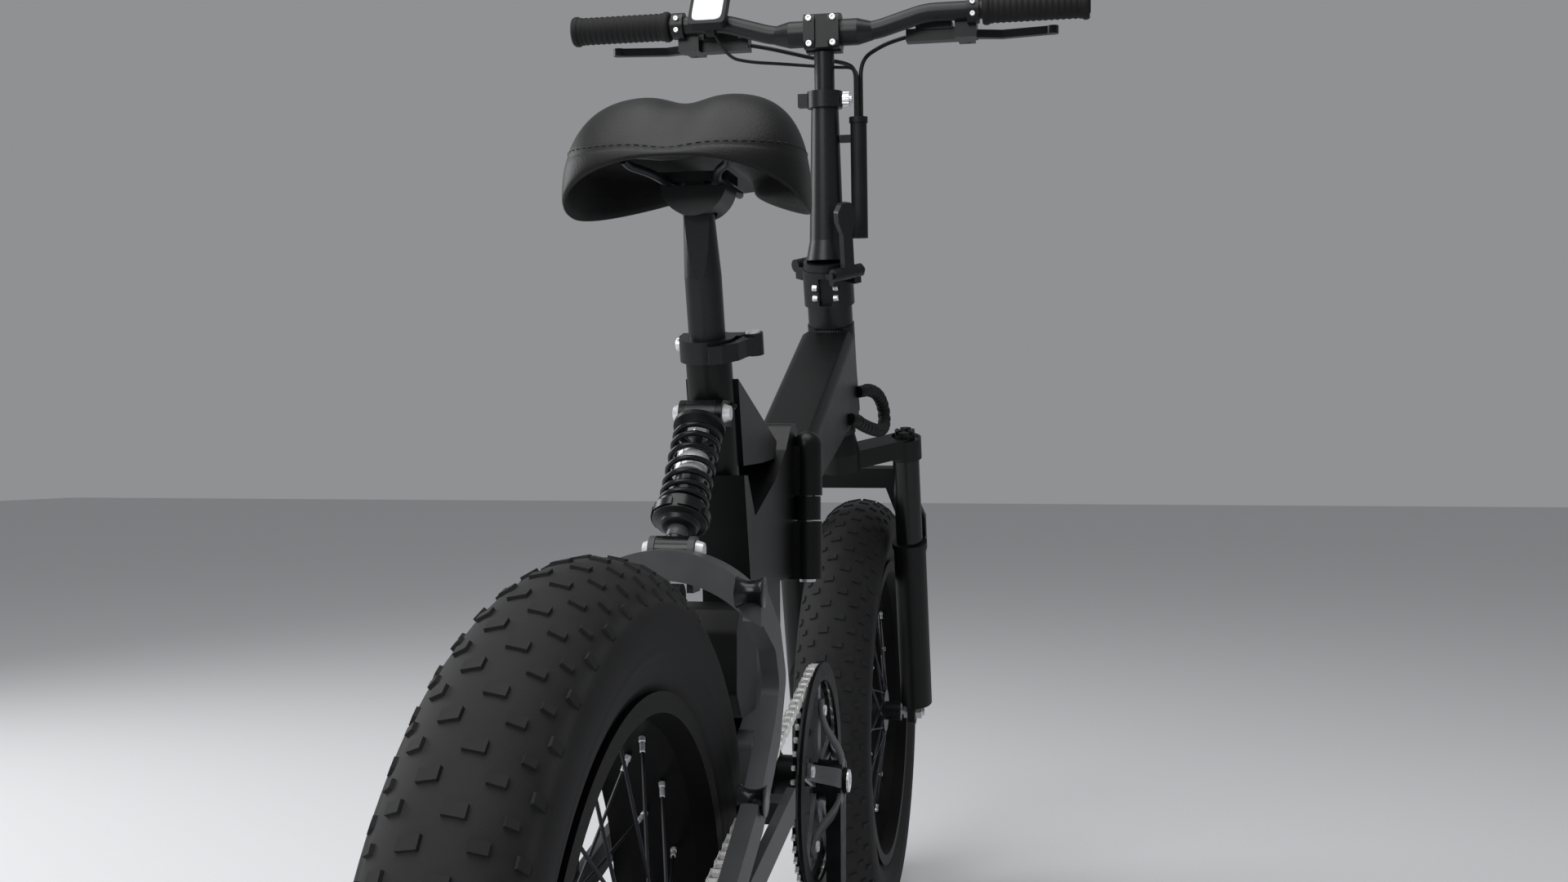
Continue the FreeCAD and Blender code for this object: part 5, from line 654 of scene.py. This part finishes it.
UNDER_SHARES = [0.955, 0.93, 0.88, 0.8, 0.65, 0.45, 0.25, 0.06]
# Grained vinyl: deep black with a broad soft highlight over each hump.
saddle_skin = moulded("grained vinyl saddle cover", "#080809", "#0f0f10", 0.46, 1.6, 0.35)
crest_line = np.polynomial.Polynomial.fit([-416, -395, -360, -325, -280, -220, -170, -146],
                                          [899, 926, 944, 949, 943, 932, 925, 917], 4)
edge_line = np.polynomial.Polynomial.fit([-416, -400, -370, -335, -285, -220, -146],
                                         [886, 872, 857, 851, 862, 886, 902], 4)


def plan_x(turn):
    """Place of the plan's edge along the bike: the middle, less half the length times the turn's cosine."""
    return PLAN_MIDDLE - PLAN_HALF_LONG * np.cos(turn)


def saddle_point(share, turn, sink=0.0):
    """A point of the cover: the plan's edge drawn in towards the middle by a share, under a crown that falls
    as the 2.4th root of one less the share's fourth power, less the channel along the middle."""
    edge_x = plan_x(turn)
    back = (1 - np.clip((WIDEST - edge_x) / BACK_LONG, 0, 1) ** 3) ** ROUNDING
    taper = 0.5 + 0.5 * np.cos(np.pi * np.clip((edge_x - WIDEST) / NOSE_LONG, 0, 1))
    waist = NOSE_SHARE + (1 - NOSE_SHARE) * taper
    tip = np.sqrt(1 - np.clip((edge_x - TIP_FROM) / TIP_LONG, 0, 1) ** 2)
    half = PLAN_HALF_WIDE * np.minimum(back, waist) * tip * np.sign(-np.sin(turn))
    x, y = DRAWN_TO + share * (edge_x - DRAWN_TO), share * half
    rim = edge_line(edge_x)
    channel = CHANNEL_DEEP * np.exp(-((y / CHANNEL_HALF) ** 2))
    channel = channel * np.clip((CHANNEL_FROM - x) / CHANNEL_FADE, 0, 1)
    crown = crest_line(x) - channel - sink
    z = rim + (crown - rim) * (1 - np.minimum(share, 1) ** 4) ** ROUNDING
    return np.stack([x, y, z], axis=-1) / 1000


sides = circle(SADDLE_SIDES)[None, :]
skin_shares, under_shares = (np.array(shares)[:, None] for shares in (SKIN_SHARES, UNDER_SHARES))
skin = saddle_point(skin_shares, sides)
skin[..., 2] -= SEAM_DEEP * np.exp(-(((skin_shares - SEAM) / SEAM_WIDE) ** 2))
turned_under = saddle_point(0.985, sides)
turned_under[..., 2] = edge_line(plan_x(sides)) / 1000 - HEM_DROP
under = saddle_point(under_shares, sides, SADDLE_DEEP)
under[:1, :, 2] = edge_line(plan_x(sides)) / 1000
saddle_points = np.concatenate([skin, turned_under, under])
saddle_faces = tube_faces(len(saddle_points), SADDLE_SIDES)
saddle = mesh_piece("saddle_cover", saddle_points, saddle_faces, saddle_skin, "seatpost")
smoothing = saddle.modifiers.new("rounded foam", "SUBSURF")
smoothing.levels = smoothing.render_levels = 1
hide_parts("saddle")

# Saddle stitching
# One row of black bonded thread just inside the seam: stitches 4.5 mm long, one every 7 mm or so.
# Each stitch is a spindle with six sides, swollen in the middle and sunk at both ends.
STITCH_SHARE, STITCH_STEP, STITCH_HALF, STITCH_LIFT, THREAD = SEAM - 0.012, 0.007, 0.00225, 0.0001, 0.00045
# Bonded thread: a dull dark grey, just paler than the cover.
thread = moulded("bonded polyester thread", "#2a2a2c", "#353538", 0.6, 0.5, 0.3)
turns = np.linspace(0, 2 * np.pi, 721)
gone = gone_along(saddle_point(STITCH_SHARE, turns))
count = int(gone[-1] / STITCH_STEP)
stations = np.interp((np.arange(count) + 0.5) / count * gone[-1], gone, turns)
middle = saddle_point(STITCH_SHARE, stations)
onward = unit(saddle_point(STITCH_SHARE, stations + 0.01) - middle)
off_skin = unit(np.cross(saddle_point(SEAM - 0.006, stations) - middle, onward))
lengthwise = STITCH_HALF * np.array([-1.0, -0.6, 0.0, 0.6, 1.0])[:, None, None]
thick = THREAD * np.array([0.2, 0.8, 1.0, 0.8, 0.2])[:, None, None]
ring = circle(6)[:, None]
beside = np.cross(onward, off_skin)
middle, onward, off_skin, beside = (part[:, None, None] for part in (middle, onward, off_skin, beside))
stitches = (middle + onward * lengthwise + off_skin * (thick * np.cos(ring) + STITCH_LIFT)
            + beside * thick * np.sin(ring))
stitch_faces = grid_faces(5, 6, False, True)[:, ::-1]
stitch_shapes = [(points.reshape(-1, 3), stitch_faces) for points in stitches]
stitching = mesh_piece("saddle_stitching", *joined(stitch_shapes), thread, "seatpost")

# Bolts and caps
# Bright zinc plated socket screws, chainring bolts, pivot caps and disc screws, in the holes of the pieces
# they hold. Each head is turned from a profile, with a hexagon socket sunk in its top.
def screw(radius, height, socket):
    """A screw head with bevelled edges and a hexagon socket."""
    return turned([(socket, height * 0.3, 1), (socket, height, 1), (radius * 0.85, height),
                   (radius, height * 0.8), (radius, 0)])


at_bars, at_fold = frame_at((292.81, 0, 1168.14), 5), frame_at((335.53, 0, 844.25), 20.3)
back_of_bars = at_bars(-1, 0, 0) - at_bars(0, 0, 0)
seat_up = at_seat(0, 0, 1) - at_seat(0, 0, 0)
sixths = np.radians(60 * np.arange(6) + 15)
plate_screw, lever_screw, disc_screw = screw(3.7, 3.4, 2.0), screw(3.0, 3.0, 1.6), screw(4.0, 2.4, 1.9)
fold_screw, ring_bolt, crank_cap = screw(4.0, 6.0, 2.2), screw(5.2, 2.4, 2.6), screw(10.5, 2.2, 4.6)
bolt_groups = {
    "handlebar_bolts": ("handlebar", [
        *(stood(plate_screw, at_bars(-22.4, y, z), back_of_bars) for y in (-14.5, 14.5) for z in (-15, 15)),
        *(stood(lever_screw, at_bars(-15.6, y, z), back_of_bars) for y in (-181, 181) for z in (11, 25)),
    ]),
    "stem_bolts": ("steering", [
        stood(fold_screw, at_fold(-27, y * 10, z), (0, y, 0)) for y in (-1, 1) for z in (13.5, 26.5)]),
    "seat_lever_cap": ("seat_lever", [stood(screw(6.2, 1.8, 2.4), at_seat(17, -35.8, 12), seat_up)]),
    "seat_clamp_nut": ("rear_frame", [stood(screw(6.0, 4.5, 2.6), at_seat(17, 27, 2.5), LEFT)]),
    "crank_bolts": ("crankset", [
        *(stood(crank_cap, (CRANK[0], y * 90.2, CRANK[1]), (0, y, 0)) for y in (-1, 1)),
        *(stood(ring_bolt, at, RIGHT) for at in about_axle(66, -67.1, fifths, CRANK)),
    ]),
    "front_disc_bolts": ("front_wheel", [
        stood(disc_screw, at, LEFT) for at in about_axle(24, 47, sixths, FRONT_AXLE)]),
    "rear_disc_bolts": ("rear_wheel", [
        stood(disc_screw, at, LEFT) for at in about_axle(24, 54, sixths, REAR_AXLE)]),
}
for name, (body, shapes) in bolt_groups.items():
    bolts = mesh_piece(name, *joined(shapes), zinc, body, smooth=False)

# Grips
# Moulded rubber sleeves with a round lip at each end and fourteen shallow finger grooves between.
# One profile of radius along the bar, turned about it; the grips are closed over the ends of the bar.
GRIP_LONG, GRIP_RADIUS, BAR_RADIUS, GRIP_SIDE, GRIP_UP = 125, 16.9, 11.2, 192, 18
LIPS_AT, LIP_TALL, LIP_HALF = (4.5, 120.5), 1.5, 3.4
GROOVE_DEEP, GROOVE_STEP, GROOVED_HALF = 0.9, 7.0, 50
# Grip rubber: black and dull, the grooves showing as faint shadows.
grip_rubber = moulded("grip rubber", "#0f0f10", "#171718", 0.62, 1.0, 0.25)
grip_run = np.linspace(0, GRIP_LONG, GRIP_LONG + 1)
lips = sum(np.exp(-(((grip_run - lip) / LIP_HALF) ** 6)) for lip in LIPS_AT)
wave = 0.5 + 0.5 * np.cos(2 * np.pi * grip_run / GROOVE_STEP)
grooves = GROOVE_DEEP * wave * (lips < 0.02) * (np.abs(grip_run - GRIP_LONG / 2) < GROOVED_HALF)
grip_radius = GRIP_RADIUS + LIP_TALL * lips - grooves
grip_profile = [(BAR_RADIUS, GRIP_LONG), *zip(grip_radius[::-1].tolist(), grip_run[::-1].tolist()),
                (BAR_RADIUS, 0)]
for side, name in ((1, "left"), (-1, "right")):
    sleeve = stood(turned(grip_profile, 40), at_bars(0, side * GRIP_SIDE, GRIP_UP), (0, side, 0))
    grip = mesh_piece(f"grip_{name}", *sleeve, grip_rubber, "handlebar")
    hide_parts("grips")

# Display
# A small moulded housing whose back carries a domed cover glass over a pale unlit liquid crystal panel.
# The glass is a rounded rectangle 38 by 52 mm that rises 1.2 mm in its middle.
GLASS_SIDES, GLASS_HALF_WIDE, GLASS_HALF_TALL, GLASS_LOW = 64, 19, 26, 31
GLASS_AT, SLANT = (-33, 140, 14), math.radians(35)
# Unlit panel: an even pale grey under a clear gloss.
panel = blank("pale liquid crystal panel under glass")
coords = add(panel, "ShaderNodeTexCoord").outputs["Object"]
film = add(panel, "ShaderNodeTexNoise", Vector=coords, Scale=1000 / 18.0, Detail=2.0)
shine = add(panel, "ShaderNodeMapRange", Value=film.outputs["Fac"], To_Min=0.1, To_Max=0.2)
finished(panel, film, "#d9dde0", "#e8ebed", (0.0, 1.0), Roughness=shine.outputs["Result"],
         Coat_Weight=0.6, Coat_Roughness=0.04)
share = np.array([1.0, 0.985, 0.95, 0.8, 0.55, 0.25])[:, None]
lift = np.array([-0.4, 0.5, 0.8, 1.0, 1.1, 1.2])[:, None]
turn = circle(GLASS_SIDES)[None, :]
corner = (np.abs(np.cos(turn)) ** 6 + np.abs(np.sin(turn)) ** 6) ** (-1 / 6)
wide = GLASS_HALF_WIDE * share * corner * np.cos(turn)
tall = GLASS_LOW + GLASS_HALF_TALL * share * corner * np.sin(turn)
along_x = GLASS_AT[0] + tall * math.sin(SLANT) - lift * math.cos(SLANT)
along_z = GLASS_AT[2] + tall * math.cos(SLANT) + lift * math.sin(SLANT)
glass_points = at_bars(along_x, GLASS_AT[1] + wide, along_z) / 1000
glass_faces = tube_faces(len(share), GLASS_SIDES)
del glass_faces[-2]
screen = mesh_piece("display_glass", glass_points, glass_faces, panel, "handlebar")

# Brake hoses and display wire
# Nylon lined hydraulic hoses 5 mm thick and a 4 mm wire, black and free between the bar's controls and the
# sleeve on the stem. Each is one smooth spline through its route, and its lower end is inside the sleeve.
HOSE_ROUTES = (
    ("brake_hose_left", 5.0, 0.243, [(27, 97, -5), (28, 76, -9), (31, 48, -16), (32, 14, -25), (22, -20, -32),
                                     (2.8, -37.8, -43), (2.8, -37.8, -69), (2.8, -37.8, -140)]),
    ("brake_hose_right", 5.0, 0.170, [(27, -97, -5), (26, -80, -9), (20, -62, -18), (9, -49, -29),
                                      (2.8, -44.2, -44), (2.8, -44.2, -62), (2.8, -44.2, -140)]),
    ("display_wire", 4.0, 0.294, [(-9, 134, 4), (-9, 120, -24), (0, 92, -30), (14, 60, -31), (21, 26, -34),
                                  (20, -8, -38), (-4, -41, -43), (-4, -41, -70), (-4, -41, -140)]),
)
# Hose nylon: matt black, with a fine texture about 0.8 mm across that dulls its highlight.
hose_skin = moulded("matt black hose nylon", "#101011", "#19191a", 0.5, 0.8, 0.3)


def cord(name, route, thick, material, body):
    """A round cord along one open spline whose control points are the route, in millimetres."""
    line = bpy.data.curves.new(name, "CURVE")
    line.dimensions, line.bevel_depth, line.bevel_resolution, line.use_fill_caps = "3D", thick / 2000, 3, True
    spline = line.splines.new("NURBS")
    spline.points.add(len(route) - 1)
    spline.points.foreach_set("co", np.column_stack([route / 1000, np.ones(len(route))]).ravel())
    spline.order_u = 3
    spline.use_endpoint_u = True
    spline.resolution_u = 12
    line.materials.append(material)
    piece = bpy.data.objects.new(name, line)
    scene.collection.objects.link(piece)
    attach(piece, body)
    return piece


for name, thick, length, route in HOSE_ROUTES:
    places = at_bars(*np.array(route).T)
    hose = cord(name, places, thick, hose_skin, "handlebar")
    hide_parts("brake_hoses")

# Harness loop
# The motor and brake lines in one 15 mm nylon sleeve that leaves the beam's right side, bends round ahead of
# it and goes back in lower down. A flat band is wound round it from end to end, once every 10.5 mm.
LOOP_AT = (390, -33, 697)
LOOP = [(-49, -2, 37), (-40, -8, 39), (-18, -12, 41), (12, -19, 36), (40, -22, 19), (34, -24, -2),
        (-4, -24, -11), (-54, -19, -9), (-86, -10, -3), (-102, -8, 1), (-111, -2, 2)]
WRAP_RADIUS, WRAP_PITCH, WRAP_HALF, WRAP_THICK, WRAP_SIDES, BARE_END = 0.0072, 0.0105, 0.0042, 0.0011, 8, 0.016
# Braided nylon: a dull black, rougher than the hoses, broken by the band's turns.
braid = moulded("black braided nylon sleeve", "#0c0c0d", "#151516", 0.6, 2.2, 0.7)


def line_of(piece):
    """Points of a cord's own spline, read back from Blender."""
    bare = bpy.data.objects.new("bare line", piece.data.copy())
    bare.data.bevel_depth = 0.0
    line = bpy.data.meshes.new_from_object(bare)
    points = np.array([vertex.co for vertex in line.vertices])
    bpy.data.objects.remove(bare)
    return points


def spiral_wrap(line):
    """A flat band wound round a line: an ellipse whose middle turns once every pitch, at the cord's radius."""
    steps = np.linspace(BARE_END, gone_along(line)[-1] - BARE_END, 420)
    middle, way, aside, over = (part[:, None] for part in rings_along(line, steps, (0.0, 1.0, 0.0)))
    turn = (2 * np.pi * steps / WRAP_PITCH)[:, None, None]
    away = aside * np.cos(turn) + over * np.sin(turn)
    edge = circle(WRAP_SIDES)[None, :, None]
    points = middle + (WRAP_RADIUS + WRAP_THICK * np.sin(edge)) * away + WRAP_HALF * np.cos(edge) * way
    return points, tube_faces(len(steps), WRAP_SIDES, flip=True)


loop_places = np.array(LOOP_AT) + np.array(LOOP)
harness = cord("harness", loop_places, 15.0, braid, "front_frame")
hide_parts("harness_loop")
wrap = mesh_piece("harness_wrap", *spiral_wrap(line_of(harness)), braid, "front_frame")
